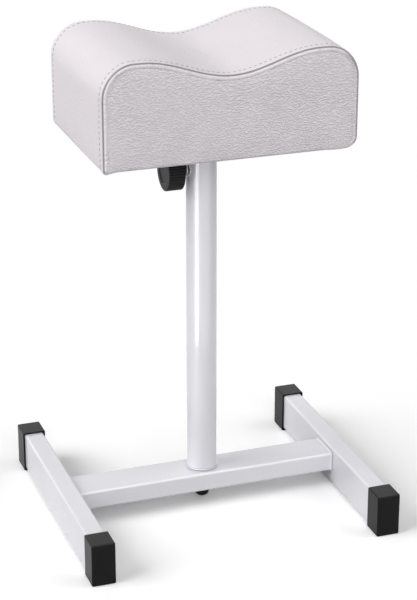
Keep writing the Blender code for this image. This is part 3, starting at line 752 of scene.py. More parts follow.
class FOOTREST_OT_crossbar(bpy.types.Operator):
    """The crossbar and the weld bead at each of its ends"""

    bl_idname = "footrest.crossbar"
    bl_label = "Crossbar and welds"

    def execute(self, context):
        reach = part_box("crossbar")[1].x
        bore_low, bore_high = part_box("crossbar_spacer")
        bottom, top = bore_low.z - GAP - STOCK_WALL, bore_high.z + GAP + STOCK_WALL
        centre = Vector((0.0, 0.0, (bottom + top) / 2))
        mesh = tube_mesh(top - bottom, CROSSBAR_WIDTH, -reach, reach)
        matrix = Matrix.Translation(centre) @ ALONG_X
        piece("crossbar_tube", mesh, "base", "crossbar", "powder_coat_white", matrix)
        for side, turn in (("right", 1), ("left", -1)):
            end = centre + Vector((turn * reach, 0.0, 0.0))
            matrix = Matrix.Translation(end) @ Matrix.Rotation(turn * math.pi / 2, 4, "Y")
            mesh = weld_mesh(top - bottom, CROSSBAR_WIDTH)
            piece(f"weld_{side}", mesh, "base", None, "powder_coat_white", matrix, weighted=False)
        return {"FINISHED"}


def cap_mesh(size):
    """A foot cap whose closed face is at Z 0 and whose mouth opens along Z."""
    edge, lip, wall, corner, inner_corner = 0.0014, 0.0005, 0.0022, 0.0017, 0.0015
    rings = [(edge * (1 - math.sin(a)), edge * (1 - math.cos(a))) for a in quarter(6)]
    rings += [(0.0, size.y * 0.5)]
    rings += [(lip * (1 - math.cos(a)), size.y - lip + lip * math.sin(a)) for a in quarter(3)]
    rings = [(inset, depth, max(corner - inset, 0.00025)) for inset, depth in rings]
    for a in quarter(3):
        inset, depth = wall - lip + lip * math.sin(a), size.y - lip * (1 - math.cos(a))
        rings.append((inset, depth, inner_corner))
    rings += [(wall, size.y * 0.5, inner_corner), (wall, wall, inner_corner)]
    return stacked(size.x, size.z, rings)


class FOOTREST_OT_foot_caps(bpy.types.Operator):
    """Four moulded caps on the ends of the side bars"""

    bl_idname = "footrest.foot_caps"
    bl_label = "Foot caps"

    def execute(self, context):
        for place in PLACES:
            low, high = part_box(f"foot_cap_{place}")
            front = place.startswith("front")
            turn = ALONG_Y if front else Matrix.Rotation(math.pi, 4, "Z") @ ALONG_Y
            middle = (high + low) / 2
            matrix = Matrix.Translation((middle.x, low.y if front else high.y, middle.z)) @ turn
            mesh = cap_mesh(high - low)
            piece(f"cap_{place}", mesh, "base", f"foot_cap_{place}", "cap_black", matrix)
        return {"FINISHED"}


class FOOTREST_OT_column(bpy.types.Operator):
    """The outer column, its foot flange and the domed nut cover"""

    bl_idname = "footrest.column"
    bl_label = "Outer column"

    def execute(self, context):
        low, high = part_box("outer_column")
        outer = (high.x - low.x) / 2
        inner = outer - STOCK_WALL
        section = ((inner, low.z, 0.0), (outer, low.z, 0.0005), (outer, high.z, 0.0005), (inner, high.z, 0.0003))
        piece("column_tube", lathed(section, 4, 128), "base", "outer_column", "powder_coat_white")

        low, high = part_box("column_foot_plug")
        flange, top, spigot = (high.x - low.x) / 2, low.z + 0.003, inner - GAP
        section = (
            (M8_HOLE, low.z, 0.0), (outer - 0.0035, low.z, 0.0), (outer - 0.0033, low.z + 0.0013, 0.0002),
            (flange - 0.0006, low.z + 0.0017, 0.0002), (flange - 0.0009, top, 0.0002), (spigot, top, 0.0),
            (spigot, high.z, 0.0004), (M8_HOLE, high.z, 0.0003),
        )
        piece("foot_flange", lathed(section, 5, 128), "base", "column_foot_plug", "powder_coat_white")

        low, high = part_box("nut_cover")
        radius, wall, bend = (high.x - low.x) / 2, 0.0012, 0.0077

        def dome(inset):
            reach, rise, foot = radius - inset, bend - inset, low.z + inset
            return [(reach * math.cos(a) ** 0.9, foot + rise * (1 - math.sin(a))) for a in quarter(14)[:-1]]

        rim = [(radius - wall, high.z), (radius - 0.0002, high.z), (radius, high.z - 0.0002)]
        profile = [(0.0, low.z + wall)] + dome(wall)[::-1] + rim + dome(0.0) + [(0.0, low.z)]
        piece("cover_of_nut", turned(profile, 64), "base", "nut_cover", "cap_black")
        return {"FINISHED"}


def seated(mesh, column):
    """Moves the foot of a mesh turned about Z onto a column that crosses it at right angles."""
    for vert in mesh.vertices:
        if vert.co.z < column / 2:
            vert.co.z = math.sqrt(column ** 2 - vert.co.y ** 2)
    return mesh


def saddle_weld(column, boss, centre):
    """A fillet round the boss where it meets the column."""
    angles = full_turn(96)

    def row(spread, lift):
        y, z = spread * np.cos(angles), spread * np.sin(angles)
        foot = np.sqrt(column ** 2 - np.minimum(y ** 2, (column * 0.98) ** 2))
        return np.stack([-(foot + lift), y, z + centre], axis=1)

    rows = []
    for turn in quarter(8):
        spread = boss + SADDLE_WELD_LEG * (1 - math.sin(turn)) - 0.0001
        ripple = 0.00006 * np.sin(angles * 22) * math.sin(2 * turn)
        rows.append(row(spread + ripple, SADDLE_WELD_LEG * (1 - math.cos(turn)) - 0.0001))
    rows.append(row(boss - 0.0006, -0.0006))
    return woven(rows, back=True)


def thread_mesh(radius, length):
    """A threaded rod along Z, with a real helix."""
    angles, cuts = full_turn(40), int(length / THREAD_STEP)
    rows = []
    for step in range(cuts + 1):
        z = length * step / cuts
        phase = (z / THREAD_PITCH - angles / (2 * math.pi)) % 1.0
        cut = np.clip(1.6 * (1 - abs(2 * phase - 1)) - 0.25, 0.0, 1.0)
        fade = min(1.0, z / THREAD_RUNOUT, (length - z) / THREAD_RUNOUT)
        rows.append(circle(angles, radius - THREAD_DEPTH * (0.8 * (1 - fade) + cut * fade), z))
    return woven(rows, caps=("first", "last"))


class FOOTREST_OT_clamp(bpy.types.Operator):
    """The boss, the threaded rod with its pad, and the ribbed knob"""

    bl_idname = "footrest.clamp"
    bl_label = "Screw clamp"

    def execute(self, context):
        low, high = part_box("clamp_boss")
        centre, boss = (low.z + high.z) / 2, (high.z - low.z) / 2
        front = -low.x
        flange, core = front - 0.0012, boss - 0.0016

        def out_from(x):
            return Matrix.Translation((x, 0.0, centre)) @ OUT_LEFT

        section = (
            (M8_HOLE, 0.0, 0.0), (core, 0.0, 0.0), (core, flange, 0.0), (boss, flange, 0.0002),
            (boss, front, 0.0006), (M8_HOLE, front, 0.0005),
        )
        mesh = seated(lathed(section, 6, 96), BOSS_SEAT)
        mesh.transform(out_from(0.0))
        mesh = joined([mesh, saddle_weld(COLUMN_RADIUS, boss, centre)])
        piece("boss", mesh, "base", "clamp_boss", "powder_coat_white")

        inner, face = core + GAP, flange - 0.0002
        section = ((inner, 0.0, 0.0), (boss, 0.0, 0.0), (boss, face, 0.0004), (inner, face, 0.0))
        mesh = seated(lathed(section, 4, 96), RING_SEAT)
        piece("boss_ring", mesh, "base", "clamp_ring", "cap_black", out_from(0.0), [finish_of("guide_nylon")])

        low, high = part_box("clamp_rod")
        mesh = thread_mesh((high.z - low.z) / 2, high.x - low.x)
        piece("threaded_rod", mesh, "knob", "clamp_rod", "zinc_plate", out_from(high.x), weighted=False)

        low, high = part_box("clamp_pad")
        radius, length = (high.z - low.z) / 2, high.x - low.x
        profile = eased([(0.0, 0.0, 0.0), (radius, 0.0, 0.0006), (radius, length, 0.0004), (0.0, length, 0.0)], 4)
        piece("pad", turned(profile, 48), "clamp_tip", "clamp_pad", "brass_tip", out_from(high.x))

        low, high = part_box("clamp_knob")
        length = high.x - low.x
        rim, neck, neck_length, bore_end = 0.025, 0.0085, 0.006, 0.018
        badge, badge_rim = length - 0.0009, length - 0.0004
        profile = eased((
            (0.0, badge, 0.0), (0.0150, badge, 0.0003), (0.0154, badge_rim, 0.0003), (0.0162, badge_rim, 0.0003),
            (0.0168, length, 0.0004), (rim, length, 0.0013), (rim, neck_length, 0.0014), (neck, neck_length, 0.0008),
            (neck, 0.0, 0.0006), (M8_HOLE, 0.0, 0.0003), (M8_HOLE, bore_end, 0.0), (0.0, bore_end, 0.0),
        ), 6)
        fine = []
        for (radius, height), (next_radius, next_height) in zip(profile, profile[1:]):
            fine.append((radius, height))
            if min(radius, next_radius) > rim - 0.0001 and abs(height - next_height) > 0.004:
                fine += [(radius, height + (next_height - height) * cut / 6) for cut in range(1, 6)]
        fine.append(profile[-1])

        def ribbed(angles, radius):
            depth = RIB_DEPTH * ramp(radius, 0.0226, 0.0240)
            return radius - depth * (1 - np.abs(np.cos(RIB_COUNT * angles / 2)) ** 0.55)

        mesh = turned(fine, RIB_COUNT * 12, ribbed)
        piece("knob_grip", mesh, "knob", "clamp_knob", "knob_black", out_from(high.x), sharp=60.0)
        return {"FINISHED"}


class FOOTREST_OT_telescope(bpy.types.Operator):
    """The chromed inner column, its guide bush and glide, and the plate on its top"""

    bl_idname = "footrest.telescope"
    bl_label = "Telescope"

    def execute(self, context):
        low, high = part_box("inner_column")
        outer = (high.x - low.x) / 2
        inner = outer - STOCK_WALL
        section = ((inner, low.z, 0.0003), (outer, low.z, 0.0006), (outer, high.z, 0.0003), (inner, high.z, 0.0))
        piece("sliding_tube", lathed(section, 4, 128), "cushion", "inner_column", "chrome_tube")

        low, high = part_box("guide_bush")
        flange, flange_foot = (high.x - low.x) / 2, high.z - 0.0025
        body, bore = flange - 0.0018, flange - 0.0027
        section = (
            (bore, low.z, 0.0003), (body, low.z, 0.0004), (body, flange_foot, 0.0), (flange, flange_foot, 0.0002),
            (flange, high.z, 0.0009), (bore, high.z, 0.0005),
        )
        piece("bush", lathed(section, 5, 96), "base", "guide_bush", "guide_nylon")

        low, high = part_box("column_glide")
        collar, spigot, bore, shoulder = (high.x - low.x) / 2, 0.0142, 0.005, low.z + 0.014
        section = (
            (bore, low.z, 0.0004), (collar, low.z, 0.0010), (collar, shoulder, 0.0005), (spigot, shoulder, 0.0),
            (spigot, high.z, 0.0010), (bore, high.z, 0.0004),
        )
        piece("glide_foot", lathed(section, 5, 96), "glide", "column_glide", "guide_nylon")

        low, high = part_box("top_plate")
        size, corner = high - low, 0.010
        edge = ((0.0005, 0.0), (0.00015, 0.00015), (0.0, 0.0005))
        rings = [(inset, low.z + up, corner - inset) for inset, up in edge]
        rings += [(inset, high.z - up, corner - inset) for inset, up in edge[::-1]]
        mesh = stacked(size.x, size.y, rings, 12)
        piece("plate", mesh, "cushion", "top_plate", "powder_coat_white")
        return {"FINISHED"}


def screw_mesh(radius, head, head_height, length):
    """A button head with a hexagon socket, its underside at Z 0 and its threaded shank above it."""
    angles = full_turn(48)
    hexagon = SOCKET_FLAT / np.cos((angles + math.pi / 6) % (math.pi / 3) - math.pi / 6)
    land, rim = 0.0027, 0.0006
    rings = [(radius, 0.0), (head, 0.0), (head, -rim)]
    for turn in quarter(8)[1:]:
        rings.append((land + (head - land) * math.cos(turn), -rim - (head_height - rim) * math.sin(turn)))
    rings += [(hexagon * 1.04, -head_height), (hexagon, -head_height + 0.0002)]
    rings += [(hexagon, -head_height + 0.0021), (hexagon * 0.2, -head_height + 0.0025)]
    button = woven([circle(angles, *ring) for ring in rings], caps=("last",))
    return joined([button, thread_mesh(radius, length)])


class FOOTREST_OT_fixings(bpy.types.Operator):
    """The plate's screws, and the finish of the fixings that sit inside other pieces"""

    bl_idname = "footrest.fixings"
    bl_label = "Fixings"

    def execute(self, context):
        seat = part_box("top_plate")[0].z - GAP
        for place in PLACES:
            low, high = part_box(f"plate_screw_{place}")
            middle, head = (low + high) / 2, (high.x - low.x) / 2
            mesh = screw_mesh(0.003, head, seat - low.z, high.z - seat)
            turn = Matrix.Rotation(0.37 * len(place) + middle.y * 9, 4, "Z")
            matrix = Matrix.Translation((middle.x, middle.y, seat)) @ turn
            piece(f"screw_{place}", mesh, "cushion", f"plate_screw_{place}", "zinc_plate", matrix)
        inserts = [f"board_insert_{place}" for place in PLACES]
        for name in (*inserts, "column_stud", "crossbar_spacer", "column_washer", "column_nut"):
            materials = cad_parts[name].data.materials
            materials.clear()
            materials.append(finish_of("zinc_plate"))
        return {"FINISHED"}


def nearest(values, wanted):
    """The place of the value that is nearest to the wanted one."""
    return int(np.argmin(np.abs(values - wanted)))


def four_sides(row, top, end):
    """The top, right, bottom and left side of a closed row, each from its left or upper end."""
    left = row[[-j % len(row) for j in range(end + 1)]]
    return row[:top + 1], row[top:top + end + 1], row[top + end:2 * top + end + 1][::-1], left


def framed(grid, row):
    """Sets the four sides of a panel's grid to a closed row."""
    grid[:, 0], grid[-1], grid[:, -1], grid[0] = four_sides(row, grid.shape[0] - 1, grid.shape[1] - 1)


class Cover:
    """The cushion's outline and the section of its seams, laid out as a grid of stations and rows."""

    def __init__(self):
        self.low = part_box("cover_band")[0].z
        self.shoulder_x = COVER_HALF - SHOULDER_RADIUS
        self.shoulder_z = COVER_CREST - SHOULDER_RADIUS
        self.crest_x = self.shoulder_x - CREST_FLAT
        self.around = 2 * (TOP_STATIONS + END_STATIONS)

    def outline(self, inset, left, right):
        """The long section's points and normals, in from the outside, with a radius for each bottom corner."""
        places, normals = [], []

        def arc(x, z, radius, first, last, count):
            for step in range(count):
                angle = math.radians(first + (last - first) * step / count)
                normals.append((math.cos(angle), math.sin(angle)))
                places.append((x + radius * math.cos(angle), z + radius * math.sin(angle)))

        def line(start, end, normal, count):
            for step in range(count):
                share = step / count
                places.append((start[0] + (end[0] - start[0]) * share, start[1] + (end[1] - start[1]) * share))
                normals.append(normal)

        shoulder = SHOULDER_RADIUS - inset
        side = COVER_HALF - inset
        floor = self.low + inset
        left, right = max(left - inset, 0.0015), max(right - inset, 0.0015)
        straight = END_STATIONS - ARC_STATIONS - CORNER_STATIONS
        arc(-self.shoulder_x, self.shoulder_z, shoulder, 135, 90, ARC_STATIONS)
        cuts = TOP_STATIONS - 2 * ARC_STATIONS
        for step in range(cuts):
            x = self.shoulder_x * (2 * step / cuts - 1)
            normal, height = (0.0, 1.0), COVER_CREST
            if abs(x) < self.crest_x:
                phase = math.pi * x / self.crest_x
                height -= SADDLE_DEPTH * (1 + math.cos(phase)) / 2
                slope = SADDLE_DEPTH / self.crest_x * math.pi * math.sin(phase) / 2
                size = math.hypot(slope, 1.0)
                normal = (-slope / size, 1.0 / size)
            places.append((x - inset * normal[0], height - inset * normal[1]))
            normals.append(normal)
        arc(self.shoulder_x, self.shoulder_z, shoulder, 90, 0, 2 * ARC_STATIONS)
        line((side, self.shoulder_z), (side, floor + right), (1.0, 0.0), straight)
        arc(side - right, floor + right, right, 0, -90, 2 * CORNER_STATIONS)
        line((side - right, floor), (-side + left, floor), (0.0, -1.0), TOP_STATIONS - 2 * CORNER_STATIONS)
        arc(-side + left, floor + left, left, -90, -180, 2 * CORNER_STATIONS)
        line((-side, floor + left), (-side, self.shoulder_z), (-1.0, 0.0), straight)
        arc(-self.shoulder_x, self.shoulder_z, shoulder, 180, 135, ARC_STATIONS)
        return np.array(places), np.array(normals)

    def top(self, x):
        """The top line's height over each x."""
        wave = COVER_CREST - SADDLE_DEPTH * (1 + np.cos(math.pi * x / self.crest_x)) / 2
        over = np.clip(np.abs(x) - self.shoulder_x, 0.0, SHOULDER_RADIUS)
        round_off = self.shoulder_z + np.sqrt(SHOULDER_RADIUS ** 2 - over ** 2)
        return np.where(np.abs(x) < self.crest_x, wave, round_off)

    def bulge(self, x, z):
        """How far a face stands proud of its seams."""
        along = ramp(np.abs(x), 0.0, COVER_HALF)
        up = np.clip(np.abs(2 * (z - self.low) / (self.top(x) - self.low) - 1), 0.0, 1.0)
        return sizes().face_crown * (1 - along ** CROWN_POWER) * (1 - up ** CROWN_POWER)

    def sections(self):
        """Each row's inset and depth at a seam, and at the fold under the board, for the front half."""
        sewn = np.array(PANEL_SECTION + GROOVE_SECTION + BAND_SECTION) / 1000
        folded = sewn.copy()
        folded[:, 0] = np.maximum(folded[:, 0], 0.0)
        first = int(np.argmax(sewn[:, 0] < FOLD_START))
        after = first + FOLD_ROWS
        for i, turn in enumerate(quarter(FOLD_ROWS - 1)):
            folded[first + i] = (FOLD_RADIUS * (1 - math.sin(turn)), FOLD_RADIUS * (1 - math.cos(turn)))
        folded[:first, 1] = 0.0
        folded[after:, 0] = 0.0
        behind = sewn[after:, 1] - sewn[after, 1]
        shift = (FOLD_RADIUS + 0.0004 - sewn[after, 1]) * (1 - ramp(behind, 0.0, 0.008)) * 0.5
        least = FOLD_RADIUS + 0.0002 * np.arange(1, len(sewn) - after + 1)
        folded[after:, 1] = np.maximum(sewn[after:, 1] + shift, least)
        return sewn, folded

    def band_row(self, back):
        """The band's row that is nearest to so many millimetres behind the panel."""
        return len(PANEL_SECTION) + nearest(self.sections()[0][len(PANEL_SECTION):, 1] * 1000, back)

    def rows(self):
        """All rows from the front panel over the band to the rear panel, with their masks: the lip, which on the panels
        also paints a highlight, and the groove's painted shade.
        """
        sewn, folded = self.sections()
        panel_rows, count = len(PANEL_SECTION), len(sewn)
        order = [(1, i) for i in range(count)] + [(0, None)] + [(-1, i) for i in range(count - 1, -1, -1)]
        places, lips, groove_shades = [], [], []
        for face, i in order:
            if face:
                (sewn_in, sewn_back), (fold_in, fold_back) = sewn[i], folded[i]
            else:
                sewn_in = fold_in = 0.0
                sewn_back = fold_back = COVER_DEPTH / 2
            y_share = face * (1 - 2 * max(sewn_back, 0.0) / COVER_DEPTH)
            in_panel = face and i < panel_rows
            corners = self.corner_radii(face if in_panel else y_share, in_panel)
            _, normals = self.outline(0.0, *corners)
            down = smooth(ramp(-normals[:, 1], 0.25, 0.95))
            turned_away = ramp(face * normals[:, 0], 0.5, 0.8)
            at_seam = self.outline(max(sewn_in, 0.0), *corners)[0] - min(sewn_in, 0.0) * normals
            at_fold = self.outline(max(fold_in, 0.0), *corners)[0]
            flat = at_seam + (at_fold - at_seam) * down[:, None]
            back = sewn_back + (fold_back - sewn_back) * down
            if in_panel:
                back = back - self.bulge(flat[:, 0], flat[:, 1])
                # Besides its puckers, the lip mask paints a highlight on the panel's rolled edge; none where the edge
                # turns away.
                lip = ramp(-sewn_in, -0.0062, -0.0054) * (1 - turned_away)
            else:
                crown = sizes().top_crown * (1 - abs(y_share) ** CROWN_POWER)
                up = ramp(flat[:, 1], self.low, COVER_CREST)
                grow = np.where(normals[:, 1] < -0.01, 0.0, 1 - (1 - up) ** CROWN_POWER)
                grow = grow * (1 + np.where(normals[:, 0] < 0, CROWN_LEFT, CROWN_RIGHT) * normals[:, 0])
                flat = flat + normals * (crown * grow)[:, None]
                lip = 0.35 if sewn_back < 0.0105 else 0.0
            lips.append(lip * (1 - down))
            # Painted shade for the groove mask: darker in the seam's groove, more where it faces up or sideways, and
            # along the panel's edge where it turns away from the light at one end.
            in_groove = face and panel_rows - 2 <= i <= panel_rows + len(GROOVE_SECTION)
            facing = np.clip(np.maximum(normals[:, 1], np.abs(normals[:, 0])), 0.0, 1.0)
            groove_shade = (1 - down) * (0.45 + 0.55 * facing) * (1.0 if in_groove else 0.0)
            groove_shades.append(np.maximum(groove_shade, turned_away * (0.7 if in_panel and sewn_in < 0.0038 else 0.0)))
            pull = LEFT_PULL * max(y_share, 0.0) ** 2 * smooth(ramp(-flat[:, 0], 0.10, 0.155))
            y = -face * (COVER_DEPTH / 2 - back)
            places.append(np.stack([flat[:, 0] + COVER_ASIDE + pull, y, flat[:, 1]], axis=1))
        return np.array(places), np.array(lips), np.array(groove_shades)

    def corner_radii(self, share, in_panel):
        """The bottom corners' radii at the left and right end. They change from the rear to the front."""
        front = (1 + share) / 2
        left, right = PANEL_CORNER if in_panel else FRONT_CORNERS[0], FRONT_CORNERS[1]
        return CORNERS[0] + (left - CORNERS[0]) * front, CORNERS[1] + (right - CORNERS[1]) * front

    def patch(self, row, face):
        """The inside of a panel, stretched between the four sides of its innermost row."""
        top, right, bottom, left = four_sides(row, TOP_STATIONS, END_STATIONS)
        runs = [run_along(side) / run_along(side)[-1] for side in (top, bottom, left, right)]
        u = ((runs[0] + runs[1]) / 2)[:, None, None]
        w = ((runs[2] + runs[3]) / 2)[None, :, None]
        grid = (1 - w) * top[:, None] + w * bottom[:, None] + (1 - u) * left[None] + u * right[None]
        grid -= (1 - u) * (1 - w) * top[0] + u * (1 - w) * top[-1] + (1 - u) * w * bottom[0] + u * w * bottom[-1]
        grid[..., 1] = -face * (COVER_DEPTH / 2 + self.bulge(grid[..., 0], grid[..., 2]))
        return grid

    def closed(self, name, rows, patches):
        """The cover's mesh and its points: the rows first, then the inside of the front and of the rear patch."""
        count, around = rows.shape[:2]
        inner = [patch[1:-1, 1:-1].reshape(-1, 3) for patch in patches]
        points = np.concatenate([rows.reshape(-1, 3)] + inner)
        faces = woven_faces(count, around)
        insides = count * around + np.arange(len(points) - count * around)
        for number, first in enumerate((0, (count - 1) * around)):
            index = np.zeros(patches[0].shape[:2], int)
            index[1:-1, 1:-1] = np.split(insides, 2)[number].reshape(index[1:-1, 1:-1].shape)
            framed(index, first + np.arange(around))
            index = index.tolist()
            for i in range(len(index) - 1):
                for j in range(len(index[0]) - 1):
                    face = (index[i][j], index[i][j + 1], index[i + 1][j + 1], index[i + 1][j])
                    faces.append(face if number == 0 else face[::-1])
        return mesh_from(name, points, faces), points


def spread(values, places, count, axis):
    """Fills in the steps between some places along an axis."""
    return np.apply_along_axis(lambda line: np.interp(np.arange(count), places, line), axis, values)


def settle(cover, rows, patches):
    """Blows the sewn cover up a little as cloth that is held at its seams and under the board.

    Returns how far each point of the rows and of the two patches moves."""
    step, last = COARSE_STEP, len(rows) - 1
    panel = cover.sections()[0][:len(PANEL_SECTION), 0] * 1000
    seam = len(PANEL_SECTION) + 1
    front = [nearest(panel, inset) for inset in SETTLE_INSETS] + [seam]
    front += [cover.band_row(back) for back in SETTLE_BACKS]
    picked = front + [last // 2] + [last - i for i in front[::-1]]
    held_rows = (3, 4, 5, len(picked) - 6, len(picked) - 5, len(picked) - 4)
    coarse = [patch[::step, ::step] for patch in patches]
    mesh, points = cover.closed("settling", rows[picked][:, ::step], coarse)
    outward(mesh)
    around = cover.around // step
    cloth_piece = linked("settling", mesh)
    held = cloth_piece.vertex_groups.new(name="held")
    fixed = {i * around + j for i in held_rows for j in range(around)}
    fixed |= {n for n, point in enumerate(points) if point[2] < cover.low + SETTLE_FOOT}
    held.add(sorted(fixed), 1.0, "REPLACE")
    cloth = cloth_piece.modifiers.new("cloth", "CLOTH")
    for name, value in SETTLE_CLOTH.items():
        setattr(cloth.settings, name, value)
    cloth.settings.effector_weights.gravity = 0.0
    cloth.point_cache.frame_start = 1
    cloth.point_cache.frame_end = SETTLE_FRAMES
    scene = bpy.context.scene
    for number in range(1, SETTLE_FRAMES + 1):
        scene.frame_set(number)
    blown = cloth_piece.evaluated_get(bpy.context.evaluated_depsgraph_get()).data
    moved = np.empty(len(points) * 3)
    blown.vertices.foreach_get("co", moved)
    scene.frame_set(1)
    bpy.data.objects.remove(cloth_piece, do_unlink=True)
    move = moved.reshape(-1, 3) - points
    size = np.linalg.norm(move, axis=1, keepdims=True)
    print("cushion cover settles by at most", round(float(size.max()) * 1000, 2), "mm")
    move *= SETTLE_GIVE / (SETTLE_GIVE + size)

    # Back from the coarse rows and stations to all of them, smoothed, and still at the seams
    coarse_move = move[:len(picked) * around].reshape(len(picked), around, 3)
    wrapped = np.concatenate([coarse_move, coarse_move[:, :1]], axis=1)
    along = spread(wrapped, np.arange(around + 1) * step, cover.around, 1)
    full = spread(along, picked, len(rows), 0)
    for _ in range(SETTLE_SMOOTHING):
        full = (np.roll(full, 1, 1) + 2 * full + np.roll(full, -1, 1)) / 4
        full[1:-1] = (full[:-2] + 2 * full[1:-1] + full[2:]) / 4
    number = np.arange(len(rows))
    full *= ramp(np.minimum(abs(number - seam), abs(number - last + seam)), 4, 10)[:, None, None]
    insides = move[len(picked) * around:].reshape(2, coarse[0].shape[0] - 2, coarse[0].shape[1] - 2, 3)
    grids = []
    for inside, ring, row in zip(insides, coarse_move[[0, -1]], full[[0, -1]]):
        grid = np.zeros(coarse[0].shape)
        grid[1:-1, 1:-1] = inside
        framed(grid, ring)
        for axis, count in enumerate((TOP_STATIONS + 1, END_STATIONS + 1)):
            grid = spread(grid, np.arange(grid.shape[axis]) * step, count, axis)
        for _ in range(SETTLE_SMOOTHING):
            framed(grid, row)
            beside = grid[:-2, 1:-1] + grid[2:, 1:-1] + grid[1:-1, :-2] + grid[1:-1, 2:]
            grid[1:-1, 1:-1] = (beside + 4 * grid[1:-1, 1:-1]) / 8
        grids.append(grid)
    return full, grids


def sag(rows, low):
    """How far the cover hangs down at its lower corners and along its left end."""
    x, y, z = np.moveaxis(rows, -1, 0)

    def dip(depth, middle, width):
        return depth * np.exp(-((x - middle) / width) ** 2)

    corners = sum(dip(*corner) for corner in SAG_CORNERS) * ramp(-y, 0.085, 0.105)
    end = dip(*SAG_END) * (0.5 + 0.5 * ramp(y, -0.02, 0.07))
    return (corners + end) * ramp(-z, -low - 0.012, -low)


built = {}


class FOOTREST_OT_cushion_cover(bpy.types.Operator):
    """The sewn cover, settled over its foam"""

    bl_idname = "footrest.cushion_cover"
    bl_label = "Cushion cover"

    def execute(self, context):
        cover = Cover()
        rows, lips, groove_shades = cover.rows()
        patches = [cover.patch(rows[0], 1), cover.patch(rows[-1], -1)]
        row_moves, patch_moves = settle(cover, rows, patches)
        rows = rows + row_moves
        patches = [patch + move for patch, move in zip(patches, patch_moves)]
        rows[..., 2] -= sag(rows, cover.low)
        mesh, points = cover.closed("cover", rows, patches)
        outline, _ = cover.outline(0.0, *CORNERS)
        run = np.cumsum(np.linalg.norm(outline - np.roll(outline, 1, 0), axis=1))
        run = (run - run[TOP_STATIONS + END_STATIONS + TOP_STATIONS // 2]) % run[-1]
        # The lip mask carries a painted highlight on the panels, and the groove mask painted shade.
        fields = {"lip": lips.ravel(), "groove_shade": groove_shades.ravel(), "run": np.tile(run, len(rows))}
        for name, values in fields.items():
            values = np.concatenate([values, np.zeros(len(points) - len(values))])
            mesh.attributes.new(name, "FLOAT", "POINT").data.foreach_set("value", values.astype(np.float32))
        # The grained copy on the panels is painted darker, as shade.
        skins = [leatherette("cover_smooth", False), leatherette("cover_grained_shaded", True)]
        stands_for = ("cover_band", "cover_front_panel", "cover_rear_panel")
        made = piece(
            "cushion_cover", mesh, "cushion", stands_for, "white_leatherette",
            finishes=skins, sharp=180.0, weighted=False,
        )
        panel = len(PANEL_SECTION)
        row_of = np.arange(len(mesh.polygons)) // cover.around
        on_band = (row_of >= panel) & (row_of < len(rows) - 1 - panel)
        mesh.polygons.foreach_set("material_index", np.where(on_band, 0, 1).astype(np.int32))
        built["cover"] = cover
        built["rows"] = rows
        return {"FINISHED"}


class FOOTREST_OT_topstitching(bpy.types.Operator):
    """A row of stitches along each seam of the band"""

    bl_idname = "footrest.topstitching"
    bl_label = "Topstitching"

    def execute(self, context):
        cover, rows = built["cover"], built["rows"]
        seam = cover.band_row(STITCH_BACK)
        first = 2 * TOP_STATIONS + END_STATIONS + CORNER_STATIONS
        count = TOP_STATIONS + 2 * END_STATIONS - 2 * CORNER_STATIONS + 1
        shown = (first + np.arange(count)) % cover.around
        shares = np.linspace(*STITCH_SPAN, 7)
        arch = np.sin(math.pi * ramp(shares, *STITCH_SPAN))
        rise = STITCH_THICK * arch ** 0.6 - STITCH_SUNK
        thick = STITCH_THICK * np.clip(arch * 2.2 + 0.25, 0.0, 1.0)
        turn = full_turn(8)
        for name, row in (("front", seam), ("rear", len(rows) - 1 - seam)):
            line = rows[row][shown]
            beside = rows[row + 1][shown] - rows[row - 1][shown]
            out = np.cross(beside, np.gradient(line, axis=0))
            out /= np.linalg.norm(out, axis=1, keepdims=True)
            middle = rows[:, :, [0, 2]].mean(axis=(0, 1))
            if np.mean((line[:, [0, 2]] - middle) * out[:, [0, 2]]) < 0:
                out = -out
            run = run_along(line)
            count = round(run[-1] / sizes().stitch_pitch)
            meshes = []
            for number in range(count):
                places = (number + shares) * run[-1] / count
                path = np.stack([np.interp(places, run, line[:, axis]) for axis in range(3)], axis=1)
                lift = np.stack([np.interp(places, run, out[:, axis]) for axis in range(3)], axis=1)
                path = path + lift * rise[:, None]
                tangent = np.gradient(path, axis=0)
                tangent /= np.linalg.norm(tangent, axis=1, keepdims=True)
                across = np.cross(tangent, lift)
                rings = [
                    path[i] + thick[i] * (np.cos(turn)[:, None] * across[i] + np.sin(turn)[:, None] * lift[i])
                    for i in range(len(path))
                ]
                meshes.append(woven(rings, caps=("first", "last")))
            piece(
                f"stitches_{name}", joined(meshes), "cushion", None, "white_leatherette",
                finishes=[stitching_thread()], sharp=80.0, weighted=False,
            )
        return {"FINISHED"}


class FOOTREST_OT_cushion_inside(bpy.types.Operator):
    """The foam core and the plywood board"""

    bl_idname = "footrest.cushion_inside"
    bl_label = "Foam and board"

    def execute(self, context):
        cover = Cover()
        low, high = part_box("seat_board")
        size = high - low
        rings = [(inset, low.z + up, BOARD_CORNER) for inset, up in BOARD_FOOT]
        rings += [(inset, high.z - down, BOARD_CORNER) for inset, down in BOARD_TOP]
        mesh = stacked(size.x - BOARD_EASE, size.y - BOARD_EASE, rings, 10)
        piece("board", mesh, "cushion", "seat_board", "plywood")

        low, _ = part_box("foam_core")
        rings = []
        for back, inset in FOAM_SECTION:
            ring = cover.outline(inset, CORNERS[1], CORNERS[1])[0]
            ring[:, 0] += COVER_ASIDE
            ring[:, 1] = np.maximum(ring[:, 1], low.z + inset * 0.15)
            rings.append(np.insert(ring, 1, back - FOAM_HALF, axis=1))
        rings += [ring * (1, -1, 1) for ring in rings[-2::-1]]
        mesh = woven(rings, caps=("first", "last"))
        made = piece("foam", mesh, "cushion", "foam_core", "seat_foam", weighted=False)
        return {"FINISHED"}


def staple_mesh():
    """A staple with its back below Z 0 and its legs up in the board."""
    rings = []
    for step, (along, up) in enumerate(STAPLE_PATH):
        if step in STAPLE_LEGS:
            rings.append([(along + tall, wide, up) for wide, tall in STAPLE_SECTION])
        else:
            rings.append([(along, wide, up + tall) for wide, tall in STAPLE_SECTION])
    return woven(rings, caps=("first", "last"))


